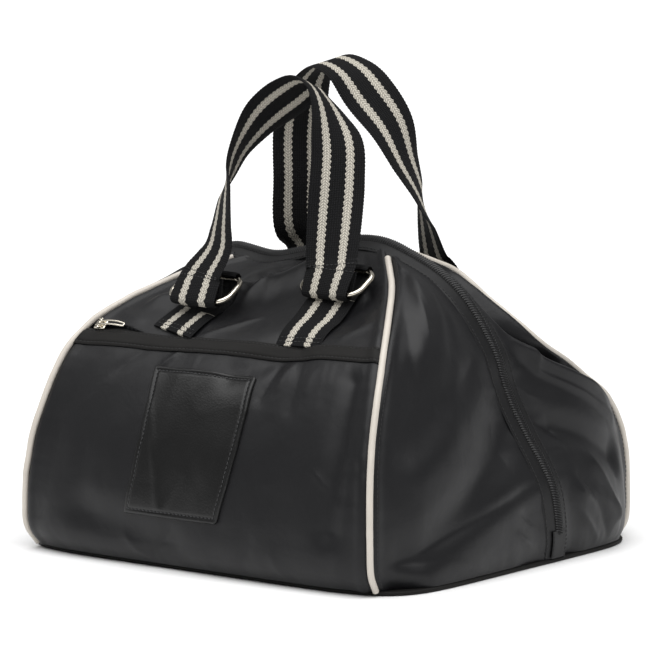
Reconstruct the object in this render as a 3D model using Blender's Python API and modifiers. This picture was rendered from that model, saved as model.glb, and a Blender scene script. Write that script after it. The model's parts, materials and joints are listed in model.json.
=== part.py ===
"""Soft riding helmet bag: dome panels, end gores, piping, over-the-top zip, front pocket and two handles.

Metres, +Z up. The bag's length runs along X, its front faces -Y, and it stands on Z = 0 with the
origin in the middle of its base.
"""

import math

import bmesh
import bpy
import numpy as np
from mathutils import Vector

# Overall sizes of the bag
BAG_LENGTH = 0.348
BAG_DEPTH = 0.302
BAG_HEIGHT = 0.217

# Base board, a rounded rectangle (a superellipse of power BASE_POWER)
BASE_LENGTH = 0.339
BASE_THICKNESS = 0.003
BASE_POWER = 7
BASE_POINTS = 56

# Cloth shell
CLOTH = 0.0015
GAP = 0.0003
SEAM_SPAN = 0.296
APEX_SPAN = 0.134
LEFT_SLUMP = 0.008
GORE_TIP_WIDTH = 0.003
LINING_STEP = 0.0024

# Piping cord in the seams
PIPING_DIAMETER = 0.0046
PIPING_CLEARANCE = 0.0014
PIPING_END = 0.0015

# Main zip
COIL_WIDTH = 0.006
COIL_THICKNESS = 0.0018
PLACKET_WIDTH = 0.011
PLACKET_CLEARANCE = 0.0009
ZIP_STATIONS = 56
RIDGE_PITCH = math.radians(24)
END_TAB_HEIGHT = 0.018
SLIDER_LENGTH = 0.012
SLIDER_WIDTH = 0.009
SLIDER_THICKNESS = 0.0026
SLIDER_PULL_LENGTH = 0.026
SLIDER_PULL_WIDTH = 0.006
SLIDER_PULL_THICKNESS = 0.0014

# Front pocket
POCKET_HEIGHT = 0.156
POCKET_TILT = 0.010
BAND_HEIGHT = 0.013
BAND_THICKNESS = 0.0024
BAND_PROUD = 0.0008
POCKET_ZIP_HEIGHT = 0.005
POCKET_ZIP_THICKNESS = 0.0014
POCKET_SLIDER_INSET = 0.012
POCKET_SLIDER_LENGTH = 0.009
POCKET_SLIDER_WIDTH = 0.0072
POCKET_SLIDER_THICKNESS = 0.0022
POCKET_PULL_LENGTH = 0.022
POCKET_PULL_WIDTH = 0.0040
POCKET_PULL_THICKNESS = 0.0012
HINGE_PIN_DIAMETER = 0.0012
HINGE_CLEARANCE = 0.0004
HINGE_HEIGHT = 0.0016
HINGE_SIDES = 12
EAR_THICKNESS = 0.0011
EAR_LENGTH = 0.0034

# Leather patch on the pocket
PATCH_WIDTH = 0.082
PATCH_HEIGHT = 0.1045
PATCH_THICKNESS = 0.0016
PATCH_ACROSS = -0.0125
PATCH_FOOT = 0.037
PATCH_CLEARANCE = 0.0013

# Webbing, tabs, rings and handles
WEBBING_WIDTH = 0.038
WEBBING_THICKNESS = 0.002
WEBBING_CLEARANCE = 0.0006
TAB_CLEARANCE = 0.0012
TAB_SPACING = 0.102
TAB_HEM = 0.002
BACK_TAB_LENGTH = 0.045
RING_WIDTH = 0.053
RING_HEIGHT = 0.031
RING_CORNER = 0.008
RING_WIRE = 0.0038
LOOP_DEPTH = 0.020
FRONT_HANDLE_TOP = 0.3235
BACK_HANDLE_TOP = 0.335

# Front seam between dome panel and gore, from the foot up.
# Columns: height (of BAG_HEIGHT), span (of SEAM_SPAN / 2), depth (of BAG_DEPTH / 2).
FRONT_SEAM = (
    (0.075, 1.017, 0.990),
    (0.165, 1.019, 1.000),
    (0.255, 1.013, 0.994),
    (0.370, 0.996, 0.969),
    (0.480, 0.970, 0.920),
    (0.590, 0.941, 0.851),
    (0.665, 0.908, 0.782),
    (0.740, 0.847, 0.676),
    (0.812, 0.746, 0.515),
    (0.886, 0.600, 0.305),
)

# Back seam, which leans further over. The same columns.
BACK_SEAM = (
    (0.065, 1.013, 0.972),
    (0.170, 1.018, 0.972),
    (0.260, 1.014, 0.968),
    (0.350, 1.000, 0.952),
    (0.440, 0.982, 0.887),
    (0.505, 0.967, 0.800),
    (0.596, 0.939, 0.621),
    (0.669, 0.905, 0.453),
    (0.743, 0.815, 0.370),
    (0.837, 0.655, 0.290),
    (0.900, 0.530, 0.235),
)

# One end of the main zip, from its foot up to the shoulder.
# Columns: reach (of BAG_LENGTH / 2), depth (of BAG_DEPTH / 2), height (of BAG_HEIGHT).
ZIP_END = (
    (0.981, 0.232, 0.016),
    (1.005, 0.207, 0.100),
    (1.004, 0.168, 0.232),
    (0.966, 0.142, 0.317),
    (0.917, 0.119, 0.391),
    (0.867, 0.094, 0.475),
    (0.831, 0.069, 0.559),
    (0.810, 0.040, 0.653),
    (0.771, 0.018, 0.728),
    (0.720, -0.005, 0.803),
    (0.654, -0.025, 0.869),
    (0.560, -0.042, 0.926),
)

# The zip over the ridge, left to right, sagging left of the middle. The same columns.
ZIP_RIDGE = (
    (-0.440, -0.053, 0.943),
    (-0.250, -0.053, 0.926),
    (-0.110, -0.053, 0.945),
    (0.035, -0.053, 0.975),
    (0.140, -0.053, 0.995),
    (0.235, -0.053, 1.004),
    (0.330, -0.053, 0.998),
    (0.434, -0.053, 0.972),
)

# Crown of the dome panels in front of the straight line between their seams.
# Columns: rise (of the seam's length), crown (of BAG_DEPTH).
FRONT_CROWN = ((0.0, 0.0), (0.10, 0.010), (0.30, 0.020), (0.50, 0.006), (0.75, -0.012), (0.92, 0.0), (1.0, 0.0))
BACK_CROWN = ((0.0, 0.0), (0.10, 0.012), (0.30, 0.030), (0.50, 0.020), (0.75, -0.016), (0.92, 0.0), (1.0, 0.0))

# Crown of the gores between piping and zip. Columns: rise (of the seam's length), crown (of BAG_DEPTH).
FRONT_GORE_CROWN = ((0.0, 0.0), (0.15, 0.014), (0.45, 0.020), (0.75, 0.030), (1.0, 0.0))
BACK_GORE_CROWN = ((0.0, 0.0), (0.15, 0.020), (0.40, 0.030), (0.60, -0.020), (0.80, -0.050), (1.0, 0.0))

# Folds and dents of the dome panels.
# Columns: start across and up, end across and up (across -1 to 1, up 0 to 1), width and height (of BAG_HEIGHT).
FRONT_FOLDS = (
    (0.20, 0.93, -0.30, 0.80, 0.070, 0.030),
    (-0.10, 0.96, -0.34, 0.87, 0.060, -0.035),
    (-0.75, 0.72, -0.35, 0.80, 0.050, 0.020),
    (0.55, 0.70, 0.85, 0.80, 0.070, -0.020),
    (-0.62, 0.12, -0.10, 0.06, 0.060, -0.014),
    (0.10, 0.50, 0.45, 0.58, 0.060, -0.016),
    (0.80, 0.15, 0.85, 0.50, 0.045, -0.020),
)
BACK_FOLDS = (
    (-0.05, 0.62, 0.05, 0.85, 0.090, -0.030),
    (-0.75, 0.50, -0.80, 0.75, 0.080, -0.020),
    (-0.60, 0.25, 0.30, 0.35, 0.110, 0.022),
    (0.75, 0.15, 0.65, 0.45, 0.090, -0.020),
)

# Folds of the gores. Columns: as above, but across runs from 0 at the piping to 1 at the zip.
FRONT_GORE_FOLDS = (
    (0.95, 0.36, 0.20, 0.08, 0.075, -0.030),
    (0.90, 0.52, 0.25, 0.28, 0.080, 0.016),
    (0.30, 0.60, 0.45, 0.85, 0.050, 0.018),
    (0.60, 0.60, 0.70, 0.82, 0.040, -0.014),
)
BACK_GORE_FOLDS = (
    (1.00, 0.78, 0.10, 0.36, 0.070, 0.060),
    (0.75, 0.82, 0.15, 0.55, 0.075, -0.080),
    (0.95, 0.40, 0.35, 0.22, 0.060, -0.030),
    (0.80, 0.16, 0.45, 0.08, 0.050, 0.020),
)

# Each ring's place on its dome panel: across, in metres, and the rise of its lower bar (of the seam's length).
FRONT_RING_SEAT = {"left": (-0.045, 0.688), "right": (0.051, 0.780)}
BACK_RING_SEAT = {"left": (-0.051, 0.740), "right": (0.051, 0.660)}

# Handle line from its right ring to its left ring.
# Columns: across (of TAB_SPACING / 2), lean from the rings towards the other face (of BAG_DEPTH / 2),
# rise (of the way from the rings up to the handle's top), turn of the webbing's width away from the
# bag's length (degrees), and dip of the webbing's inner edge (of its width).
FRONT_HANDLE_LINE = (
    (0.958, 0.060, 0.188, 17, -0.09),
    (0.888, 0.120, 0.385, 33, -0.05),
    (0.843, 0.160, 0.553, 45, 0.05),
    (0.769, 0.200, 0.718, 54, 0.16),
    (0.559, 0.245, 0.871, 80, 0.42),
    (0.330, 0.280, 0.971, 93, 0.49),
    (0.121, 0.300, 1.005, 84, 0.40),
    (-0.174, 0.317, 0.942, 73, 0.56),
    (-0.454, 0.320, 0.867, 76, 0.49),
    (-0.668, 0.310, 0.783, 90, 0.29),
    (-0.814, 0.275, 0.679, 104, 0.08),
    (-0.859, 0.230, 0.570, 117, -0.01),
    (-0.843, 0.185, 0.478, 137, -0.03),
    (-0.789, 0.130, 0.335, 148, -0.02),
    (-0.770, 0.090, 0.221, 160, -0.02),
)
BACK_HANDLE_LINE = (
    (0.827, 0.000, 0.209, 21, 0.00),
    (0.805, 0.050, 0.358, 37, 0.02),
    (0.821, 0.115, 0.479, 62, 0.12),
    (0.691, 0.160, 0.606, 79, 0.26),
    (0.504, 0.180, 0.750, 103, 0.40),
    (0.187, 0.190, 0.867, 121, 0.40),
    (-0.137, 0.180, 0.957, 113, 0.17),
    (-0.508, 0.163, 0.991, 103, 0.19),
    (-0.802, 0.144, 0.933, 106, 0.23),
    (-1.017, 0.120, 0.826, 120, 0.17),
    (-1.131, 0.105, 0.675, 134, 0.11),
    (-1.129, 0.105, 0.489, 136, 0.08),
    (-1.147, 0.095, 0.287, 140, 0.10),
    (-1.100, 0.045, 0.200, 163, 0.00),
)

HALF_LENGTH = BAG_LENGTH / 2
HALF_DEPTH = BAG_DEPTH / 2
HALF_SPAN = SEAM_SPAN / 2
HEM = BASE_THICKNESS + GAP
PIPING_RADIUS = PIPING_DIAMETER / 2
PLACKET_START = COIL_WIDTH / 2 + GAP
PLACKET_REACH = PLACKET_START + PLACKET_WIDTH
FRONT, BACK = -1, 1
LEFT, RIGHT = -1, 1
SIDE_NAMES = {FRONT: "front", BACK: "back"}
END_NAMES = {LEFT: "left", RIGHT: "right"}


# Lines and surfaces

def smooth_line(points, steps=14):
    """A Catmull-Rom line through points, as closely spaced points and their distance along it."""
    p = np.asarray(points, float)
    p = np.vstack((2 * p[0] - p[1], p, 2 * p[-1] - p[-2]))
    t = np.linspace(0, 1, steps, endpoint=False)[:, None]
    spans = []
    for a, b, c, d in zip(p[:-3], p[1:-2], p[2:-1], p[3:]):
        spans.append(b + 0.5 * t * (c - a + t * (2 * a - 5 * b + 4 * c - d + t * (3 * (b - c) + d - a))))
    spans.append(p[-2:-1])
    line = np.vstack(spans)
    steps_along = np.linalg.norm(np.diff(line[:, :3], axis=0), axis=1)
    return line, np.concatenate(((0,), np.cumsum(steps_along)))


def along(line, share):
    """The points at shares 0 to 1 of a line's length."""
    points, distance = line
    reach = np.clip(share, 0, 1) * distance[-1]
    return np.stack([np.interp(reach, distance, points[:, k]) for k in range(points.shape[1])], axis=-1)


def unit(v):
    """Vectors scaled to length 1."""
    return v / np.linalg.norm(v, axis=-1, keepdims=True)


def outline_depth(x):
    """Half depth of the base's rounded rectangle at a distance x from its middle."""
    share = np.clip(np.abs(x) / (BASE_LENGTH / 2), 0, 1)
    return HALF_DEPTH * (1 - share ** BASE_POWER) ** (1 / BASE_POWER)


def zip_line():
    """The zip's middle line, from its left foot over the ridge to its right foot."""
    size = np.array((HALF_LENGTH, HALF_DEPTH, BAG_HEIGHT))
    end = np.array(ZIP_END)
    end[0, 2] = HEM / BAG_HEIGHT
    left = end * (-1, 1, 1)
    return smooth_line(np.vstack((left, ZIP_RIDGE, end[::-1])) * size)


ZIP = zip_line()


def apex_share(end):
    """Share of the zip's length at which the gores of one end run out."""
    shares = np.linspace(0.2, 0.8, 600)
    x = along(ZIP, shares)[:, 0]
    return shares[np.argmin(np.abs(x - end * APEX_SPAN / 2))]


APEX = {LEFT: apex_share(LEFT), RIGHT: apex_share(RIGHT)}


def ridge_direction(side):
    """The way down from the ridge, square to the zip, on the front or the back."""
    return np.array((0, side * math.cos(RIDGE_PITCH), -math.sin(RIDGE_PITCH)))


def seam_line(side, end):
    """The seam between a dome panel and a gore, from the base up to the placket's edge."""
    rows = FRONT_SEAM if side == FRONT else BACK_SEAM
    points = [(end * HALF_SPAN, side * outline_depth(HALF_SPAN), HEM)]
    for height, span, depth in rows:
        drop = LEFT_SLUMP * height ** 6 if end == LEFT else 0
        points.append((end * span * HALF_SPAN, side * depth * HALF_DEPTH, height * BAG_HEIGHT - drop))
    points.append(along(ZIP, APEX[end]) + ridge_direction(side) * (PLACKET_REACH + PLACKET_CLEARANCE))
    return smooth_line(points)


SEAM = {(side, end): seam_line(side, end) for side in (FRONT, BACK) for end in (LEFT, RIGHT)}
SEAM_LENGTH = SEAM[FRONT, RIGHT][1][-1]


def cord_clearance(side, end, up, direction):
    """How far cloth stops short of a seam, measured along direction, to clear the piping cord."""
    step = 1e-3
    tangent = unit(along(SEAM[side, end], up + step) - along(SEAM[side, end], np.clip(up, 0, 1 - step) - step))
    square = np.linalg.norm(np.cross(direction, tangent), axis=-1, keepdims=True)
    return (PIPING_RADIUS + PIPING_CLEARANCE) / np.clip(square, 0.25, 1)


def gore_ends(side, end, rise):
    """The seam point, the zip point and the unit vector from zip to seam at a gore's rise 0 to 1."""
    seam = along(SEAM[side, end], rise)
    apex = APEX[end]
    zip_share = apex * rise if end == LEFT else 1 - (1 - apex) * rise
    middle = along(ZIP, zip_share)
    return seam, middle, unit(seam - middle)


def zip_side(side, share):
    """Unit vectors from the zip's middle line towards one side, in the cloth, at shares of its length."""
    share = np.atleast_1d(np.asarray(share, float))
    left = np.clip(share / APEX[LEFT], 0, 1)
    right = np.clip((1 - share) / (1 - APEX[RIGHT]), 0, 1)
    directions = np.tile(ridge_direction(side), (len(share), 1))
    for end, rise in ((LEFT, left), (RIGHT, right)):
        on_gore = rise < 1
        directions[on_gore] = gore_ends(side, end, rise[on_gore])[2]
    return directions


def table_value(table, share):
    """A two-column table read as a smooth curve."""
    rows = np.array(table)
    line = smooth_line(np.column_stack((rows, np.zeros(len(rows)))))[0]
    return np.interp(share, line[:, 0], line[:, 1])


def fold_relief(folds, across, up, across_size):
    """Height of all folds at a place: each is a ridge of bell section along its line, fading at its ends."""
    relief = np.zeros_like(across)
    place = np.stack((across * across_size, up * SEAM_LENGTH), axis=-1)
    for x0, y0, x1, y1, width, height in folds:
        start = np.array((x0 * across_size, y0 * SEAM_LENGTH))
        run = np.array((x1 * across_size, y1 * SEAM_LENGTH)) - start
        share = np.clip(((place - start) @ run) / (run @ run), 0, 1)
        away = np.linalg.norm(place - start - share[..., None] * run, axis=-1)
        relief += height * BAG_HEIGHT * np.exp(-(away / (width * BAG_HEIGHT)) ** 2)
    return relief


def raised(surface, across, up, height):
    """Points of a surface moved along its outward normal."""
    step = 1e-4
    du = surface(across + step, up) - surface(across - step, up)
    dv = surface(across, up + step) - surface(across, up - step)
    normal = unit(np.cross(du, dv))
    return surface(across, up) + np.asarray(height)[..., None] * normal


def dome_rule(side, share, up):
    """The straight line between a dome panel's two seams, short of their cords, at shares across it."""
    lengthwise = np.array((1.0, 0, 0))
    left = along(SEAM[side, LEFT], up) + lengthwise * cord_clearance(side, LEFT, up, lengthwise)
    right = along(SEAM[side, RIGHT], up) - lengthwise * cord_clearance(side, RIGHT, up, lengthwise)
    return left * (1 - share) + right * share


def dome_frame(side, across, up):
    """A dome panel without its crown: straight between its seams, led to the base and to the ridge."""
    share = (1 - side * across)[..., None] / 2
    ruled = dome_rule(side, share, up)
    foot_line = dome_rule(side, share, np.zeros_like(up))
    foot = foot_line.copy()
    foot[..., 1] = side * outline_depth(foot[..., 0])
    top_line = dome_rule(side, share, np.ones_like(up))
    trim = 1.3 * (PIPING_RADIUS + PIPING_CLEARANCE) / ZIP[1][-1]
    zip_share = APEX[LEFT] + trim + (APEX[RIGHT] - APEX[LEFT] - 2 * trim) * share[..., 0]
    top = along(ZIP, zip_share) + ridge_direction(side) * (PLACKET_REACH + PLACKET_CLEARANCE)

    rise = np.clip(up, 0, 1)[..., None]
    return ruled + (foot - foot_line) * (1 - rise) ** 4 + (top - top_line) * rise ** 6


def dome_panel(side, across, up, lift=0.0):
    """The outer face of the front or back dome panel, or a face parallel to it at a height lift.

    across runs from -1 to 1 (left to right seen from that side), up from 0 at the base to 1 at the ridge.
    """
    crown = FRONT_CROWN if side == FRONT else BACK_CROWN
    folds = FRONT_FOLDS if side == FRONT else BACK_FOLDS
    edge = np.clip(1 - across ** 2, 0, 1)
    fade = np.clip(edge * 3, 0, 1) * np.clip(up * 12, 0, 1) * np.clip((1 - up) * 12, 0, 1)
    height = table_value(crown, up) * BAG_DEPTH * edge
    height = height + fade * fold_relief(folds, across, up, HALF_SPAN) + lift

    def frame(a, b):
        return dome_frame(side, a, b)

    return raised(frame, across, up, height)


def front_place(across, up, lift=0.0):
    """The front panel's face with its rows tilted to follow the pocket's slightly slanting mouth."""
    mouth = POCKET_HEIGHT / SEAM_LENGTH
    share = np.clip(np.minimum(up / mouth, (1 - up) / (1 - mouth)), 0, 1)
    tilt = POCKET_TILT / SEAM_LENGTH / 2 * across * share
    return dome_panel(FRONT, across, up + tilt, lift)


def panel_at(side, x, up, lift=0.0):
    """Points of a dome panel, or of a face a height lift in front of it, at given X and rises."""
    x, up = np.broadcast_arrays(np.asarray(x, float), np.asarray(up, float))
    across = np.zeros_like(x)
    step = 0.01
    for _ in range(6):
        here = dome_panel(side, across, up)[..., 0]
        beside = dome_panel(side, across + step, up)[..., 0]
        across = across + (x - here) / (beside - here) * step
    return dome_panel(side, across, up, lift)


def gore(side, end, across, up):
    """The outer face of a gore: across runs from 0 at the piping to 1 at the placket."""
    crown = FRONT_GORE_CROWN if side == FRONT else BACK_GORE_CROWN
    folds = FRONT_GORE_FOLDS if side == FRONT else BACK_GORE_FOLDS
    fade = np.clip(across * 5, 0, 1) * np.clip((1 - across) * 5, 0, 1)
    fade = fade * np.clip(up * 12, 0, 1) * np.clip((1 - up) * 6, 0, 1)
    height = table_value(crown, up) * BAG_DEPTH * np.sin(math.pi * np.clip(across, 0, 1)) ** 2
    height = height + fade * fold_relief(folds, across, up, HALF_DEPTH)
    turned = 1 if side * end < 0 else -1

    def frame(a, b):
        seam, middle, away = gore_ends(side, end, b)
        rim = seam - away * cord_clearance(side, end, b, away)
        inner = middle + away * (PLACKET_REACH + PLACKET_CLEARANCE)
        flat = rim + (inner - rim) * a[..., None]
        foot_seam, foot_zip, foot_away = gore_ends(side, end, np.zeros_like(b))
        foot_rim = foot_seam - foot_away * cord_clearance(side, end, np.zeros_like(b), foot_away)
        foot_inner = foot_zip + foot_away * (PLACKET_REACH + PLACKET_CLEARANCE)
        foot = foot_rim + (foot_inner - foot_rim) * a[..., None]
        reach = np.abs(foot[..., 1]) / HALF_DEPTH
        full = BASE_LENGTH / 2 * (1 - np.clip(reach, 0, 1) ** BASE_POWER) ** (1 / BASE_POWER)
        bow = end * full - foot[..., 0]
        ease = np.clip(np.minimum(a, 1 - a) * 4, 0, 1)
        flat[..., 0] += bow * (1 - np.clip(b, 0, 1)) ** 4 * ease ** 2 * (3 - 2 * ease)
        return flat

    return raised(frame, across, up, turned * height)


def gore_top(side, end):
    """The rise at which a gore has become too narrow to go on between piping and placket."""
    rise = np.linspace(0.5, 1, 300)
    seam, middle, away = gore_ends(side, end, rise)
    width = np.linalg.norm(seam - middle, axis=1) - PLACKET_REACH - PLACKET_CLEARANCE
    width = width - cord_clearance(side, end, rise, away)[:, 0]
    return rise[np.nonzero(width < GORE_TIP_WIDTH)[0][0]]


# Blender objects

def clear_scene():
    """Empty the scene and make the bag's collection."""
    for item in list(bpy.data.objects):
        bpy.data.objects.remove(item)
    collection = bpy.data.collections.new("riding_helmet_bag")
    bpy.context.scene.collection.children.link(collection)
    return collection


def material(name, colour, roughness, metallic=0.0):
    """A Principled material."""
    result = bpy.data.materials.new(name)
    result.use_nodes = True
    shader = result.node_tree.nodes["Principled BSDF"]
    shader.inputs["Base Color"].default_value = (*colour, 1)
    shader.inputs["Roughness"].default_value = roughness
    shader.inputs["Metallic"].default_value = metallic
    return result


COLLECTION = clear_scene()
HELPERS = bpy.data.collections.new("helper_shapes")
bpy.context.scene.collection.children.link(HELPERS)
NYLON = material("black_nylon", (0.012, 0.012, 0.014), 0.45)
BINDING = material("black_binding", (0.016, 0.015, 0.015), 0.6)
PIPING = material("off_white_piping", (0.70, 0.67, 0.62), 0.5)
WEBBING = material("striped_webbing", (0.02, 0.02, 0.02), 0.8)
LEATHER = material("black_leather", (0.010, 0.010, 0.011), 0.4)
COIL = material("black_zip_coil", (0.015, 0.015, 0.017), 0.35)
STEEL = material("bright_nickel", (0.75, 0.74, 0.72), 0.2, 1.0)


def add_object(name, data, finish):
    """Link an object of the bag with its material."""
    data.materials.append(finish)
    item = bpy.data.objects.new(name, data)
    COLLECTION.objects.link(item)
    return item


def add_sheet(name, across, up, surface, thickness, finish, offset=-1.0):
    """A wall: a grid bent onto surface(across, up), thickened inwards with Solidify."""
    across = np.asarray(across, float)
    up = np.asarray(up, float)
    grid = bmesh.new()
    bmesh.ops.create_grid(grid, x_segments=len(across) - 1, y_segments=len(up) - 1, size=1)
    flat = np.array([v.co for v in grid.verts])
    column = np.rint((flat[:, 0] + 1) / 2 * (len(across) - 1)).astype(int)
    row = np.rint((flat[:, 1] + 1) / 2 * (len(up) - 1)).astype(int)
    points = surface(across[column], up[row])
    for vertex, point in zip(grid.verts, points):
        vertex.co = point
    mesh = bpy.data.meshes.new(name)
    grid.to_mesh(mesh)
    grid.free()
    mesh.shade_smooth()
    item = add_object(name, mesh, finish)
    wall = item.modifiers.new("wall", "SOLIDIFY")
    wall.thickness = thickness
    wall.offset = offset
    wall.use_even_offset = True
    return item


def add_ribbon(name, line, width, facing, thickness, finish):
    """A webbing strip: a two-point-wide grid along line, its width along the unit vectors facing."""
    points = np.asarray(line)
    half = np.asarray(facing) * width / 2

    def surface(across, up):
        row = np.rint(up).astype(int)
        return points[row] + half[row] * across[:, None]

    return add_sheet(name, (-1, 1), np.arange(len(points)), surface, thickness, finish, offset=0.0)


def add_cord(name, points, diameter, finish, sides=1, closed=False):
    """A round cord or wire: a poly curve with a bevel and, if open, filled caps."""
    curve = bpy.data.curves.new(name, "CURVE")
    curve.dimensions = "3D"
    curve.bevel_depth = diameter / 2
    curve.bevel_resolution = sides
    curve.use_fill_caps = not closed
    spline = curve.splines.new("POLY")
    spline.points.add(len(points) - 1)
    spline.points.foreach_set("co", np.column_stack((points, np.ones(len(points)))).ravel())
    spline.use_cyclic_u = closed
    return add_object(name, curve, finish)


def add_block(name, centre, axes, size, finish, bevel):
    """A box with rounded edges, its sides along the three unit vectors in axes."""
    block = bmesh.new()
    bmesh.ops.create_cube(block, size=1)
    frame = np.array(axes) * np.array(size)[:, None]
    for vertex in block.verts:
        vertex.co = np.array(centre) + np.array(vertex.co) @ frame
    bmesh.ops.recalc_face_normals(block, faces=block.faces)
    mesh = bpy.data.meshes.new(name)
    block.to_mesh(mesh)
    block.free()
    item = add_object(name, mesh, finish)
    edge = item.modifiers.new("edges", "BEVEL")
    edge.width = bevel
    edge.segments = 1
    return item


# Sub-parts

def add_base_board():
    """The stiffened floor: the rounded rectangle, lying on the ground."""
    angle = np.linspace(0, 2 * math.pi, BASE_POINTS, endpoint=False)
    cosine, sine = np.cos(angle), np.sin(angle)
    power = 2 / BASE_POWER
    x = BASE_LENGTH / 2 * np.sign(cosine) * np.abs(cosine) ** power
    y = HALF_DEPTH * np.sign(sine) * np.abs(sine) ** power
    curve = bpy.data.curves.new("base_board", "CURVE")
    curve.dimensions = "2D"
    curve.fill_mode = "BOTH"
    curve.extrude = BASE_THICKNESS / 2
    spline = curve.splines.new("POLY")
    spline.points.add(BASE_POINTS - 1)
    spline.points.foreach_set("co", np.column_stack((x, y, np.zeros_like(x), np.ones_like(x))).ravel())
    spline.use_cyclic_u = True
    board = add_object("base_board", curve, BINDING)
    board.location.z = BASE_THICKNESS / 2


POCKET_TOP = POCKET_HEIGHT / SEAM_LENGTH
BAND_START = POCKET_TOP + 2 * GAP / SEAM_LENGTH
BAND_END = BAND_START + BAND_HEIGHT / SEAM_LENGTH
POCKET_ZIP_START = BAND_END + 2 * GAP / SEAM_LENGTH
POCKET_ZIP_END = POCKET_ZIP_START + POCKET_ZIP_HEIGHT / SEAM_LENGTH
UPPER_START = POCKET_ZIP_END + CLOTH / SEAM_LENGTH
ACROSS = np.linspace(-1, 1, 17)
POCKET_ROWS = np.linspace(0, POCKET_TOP, 9)


def add_front_panel():
    """The whole front wall; behind the pocket it steps back to leave room for the pocket's own cloth."""
    upper = np.linspace(UPPER_START, 1, 9)
    rows = np.concatenate((POCKET_ROWS, (BAND_END, POCKET_ZIP_END), upper))

    def surface(across, up):
        step = np.where(up < UPPER_START, -LINING_STEP, 0)
        return front_place(across, up, step)

    add_sheet("front_panel", ACROSS, rows, surface, CLOTH, NYLON)


def add_pocket():
    """Pocket cloth, the binding along its mouth, and the zip tape behind the binding."""

    def band(across, up):
        return front_place(across, up, BAND_PROUD)

    add_sheet("pocket_panel", ACROSS, POCKET_ROWS, front_place, CLOTH, NYLON)
    add_sheet("pocket_band", ACROSS, (BAND_START, BAND_END), band, BAND_THICKNESS, BINDING)
    add_sheet("pocket_zip", ACROSS, (POCKET_ZIP_START, POCKET_ZIP_END), front_place, POCKET_ZIP_THICKNESS, COIL)


def add_patch():
    """The leather patch: a rectangle laid on the pocket, its edges square to the panel's length."""
    columns = np.linspace(-0.5, 0.5, 5)
    rows = np.linspace(0, 1, 7)

    def surface(across, up):
        shares = np.interp(PATCH_FOOT + up * PATCH_HEIGHT, (0, SEAM_LENGTH), (0, 1))
        sideways = (PATCH_ACROSS + across * PATCH_WIDTH) / HALF_SPAN
        return front_place(sideways, shares, PATCH_CLEARANCE + PATCH_THICKNESS)

    add_sheet("leather_patch", columns, rows, surface, PATCH_THICKNESS, LEATHER)


def add_back_panel():
    """The back wall."""
    add_sheet("back_panel", ACROSS, np.linspace(0, 1, 16),
              lambda across, up: dome_panel(BACK, across, up), CLOTH, NYLON)


def add_gores():
    """The four end panels, each cut short where piping and placket meet."""
    for side in (FRONT, BACK):
        for end in (LEFT, RIGHT):
            turned = side * end > 0
            columns = np.linspace(0, 1, 10)[::-1 if turned else 1]
            rows = np.linspace(0, gore_top(side, end), 15)

            def surface(across, up, side=side, end=end):
                return gore(side, end, across, up)

            place = f"{SIDE_NAMES[side]}_{END_NAMES[end]}"
            add_sheet(f"gore_{place}", columns, rows, surface, CLOTH, NYLON)
            top = 1 - PIPING_END / SEAM[side, end][1][-1]
            cord = along(SEAM[side, end], np.linspace(0, top, 22))
            add_cord(f"piping_{place}", cord, PIPING_DIAMETER, PIPING)


def foot_share(height):
    """Share of the zip's length at which it has risen to a height above the floor, at either end."""
    shares = np.linspace(0, 0.2, 200)
    return shares[np.argmin(np.abs(along(ZIP, shares)[:, 2] - height))]


def add_main_zip():
    """Coil, its two plackets, and the cloth stops below it."""
    stop = foot_share(HEM + END_TAB_HEIGHT)
    gap_share = GAP / ZIP[1][-1]

    def strip(reach_front, reach_back):
        def surface(across, up):
            middle = along(ZIP, up)
            front = middle + zip_side(FRONT, up) * reach_front
            back = middle + zip_side(BACK, up) * reach_back
            edges = np.where(across[:, None] < 0, front, back)
            return np.where(across[:, None] == 0, middle, edges)
        return surface

    def placket(side):
        def surface(across, up):
            middle = along(ZIP, up)
            reach = PLACKET_START + across[:, None] * PLACKET_WIDTH
            return middle + zip_side(side, up) * reach
        return surface

    half = COIL_WIDTH / 2
    whole = np.linspace(0, 1, ZIP_STATIONS)
    between = whole[(whole > stop + 2 * gap_share) & (whole < 1 - stop - 2 * gap_share)]
    shares = np.concatenate(((stop + gap_share,), between, (1 - stop - gap_share,)))
    add_sheet("zip_coil", (1, 0, -1), shares, strip(half, half), COIL_THICKNESS, COIL)
    add_sheet("zip_placket_front", (0, 1), whole, placket(FRONT), CLOTH, NYLON)
    add_sheet("zip_placket_back", (1, 0), whole, placket(BACK), CLOTH, NYLON)
    add_sheet("zip_end_tab_left", (1, 0, -1), np.linspace(0, stop, 4), strip(half, half), CLOTH, NYLON)
    add_sheet("zip_end_tab_right", (1, 0, -1), np.linspace(1 - stop, 1, 4), strip(half, half), CLOTH, NYLON)


def add_zip_slider():
    """The closed zip's slider at the left foot, with its pull lying up the coil."""
    share = foot_share(HEM + END_TAB_HEIGHT + SLIDER_LENGTH)
    middle = along(ZIP, share)
    upward = unit(along(ZIP, share + 0.01) - along(ZIP, share - 0.01))
    width = unit(zip_side(FRONT, share)[0] - zip_side(BACK, share)[0])
    outward = unit(np.cross(width, upward))
    axes = (upward, width, outward)
    body_lift = GAP + SLIDER_THICKNESS / 2
    body = add_block("zip_slider", middle + outward * body_lift, axes,
                     (SLIDER_LENGTH, SLIDER_WIDTH, SLIDER_THICKNESS), STEEL, SLIDER_THICKNESS / 4)
    pull_lift = GAP + SLIDER_THICKNESS + SLIDER_PULL_THICKNESS / 4
    pull_centre = middle + outward * pull_lift + upward * SLIDER_PULL_LENGTH / 2
    pull = add_block("zip_slider_pull_shape", pull_centre, axes,
                     (SLIDER_PULL_LENGTH, SLIDER_PULL_WIDTH, SLIDER_PULL_THICKNESS), STEEL,
                     SLIDER_PULL_THICKNESS / 4)
    combine(body, pull, "UNION")


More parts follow.
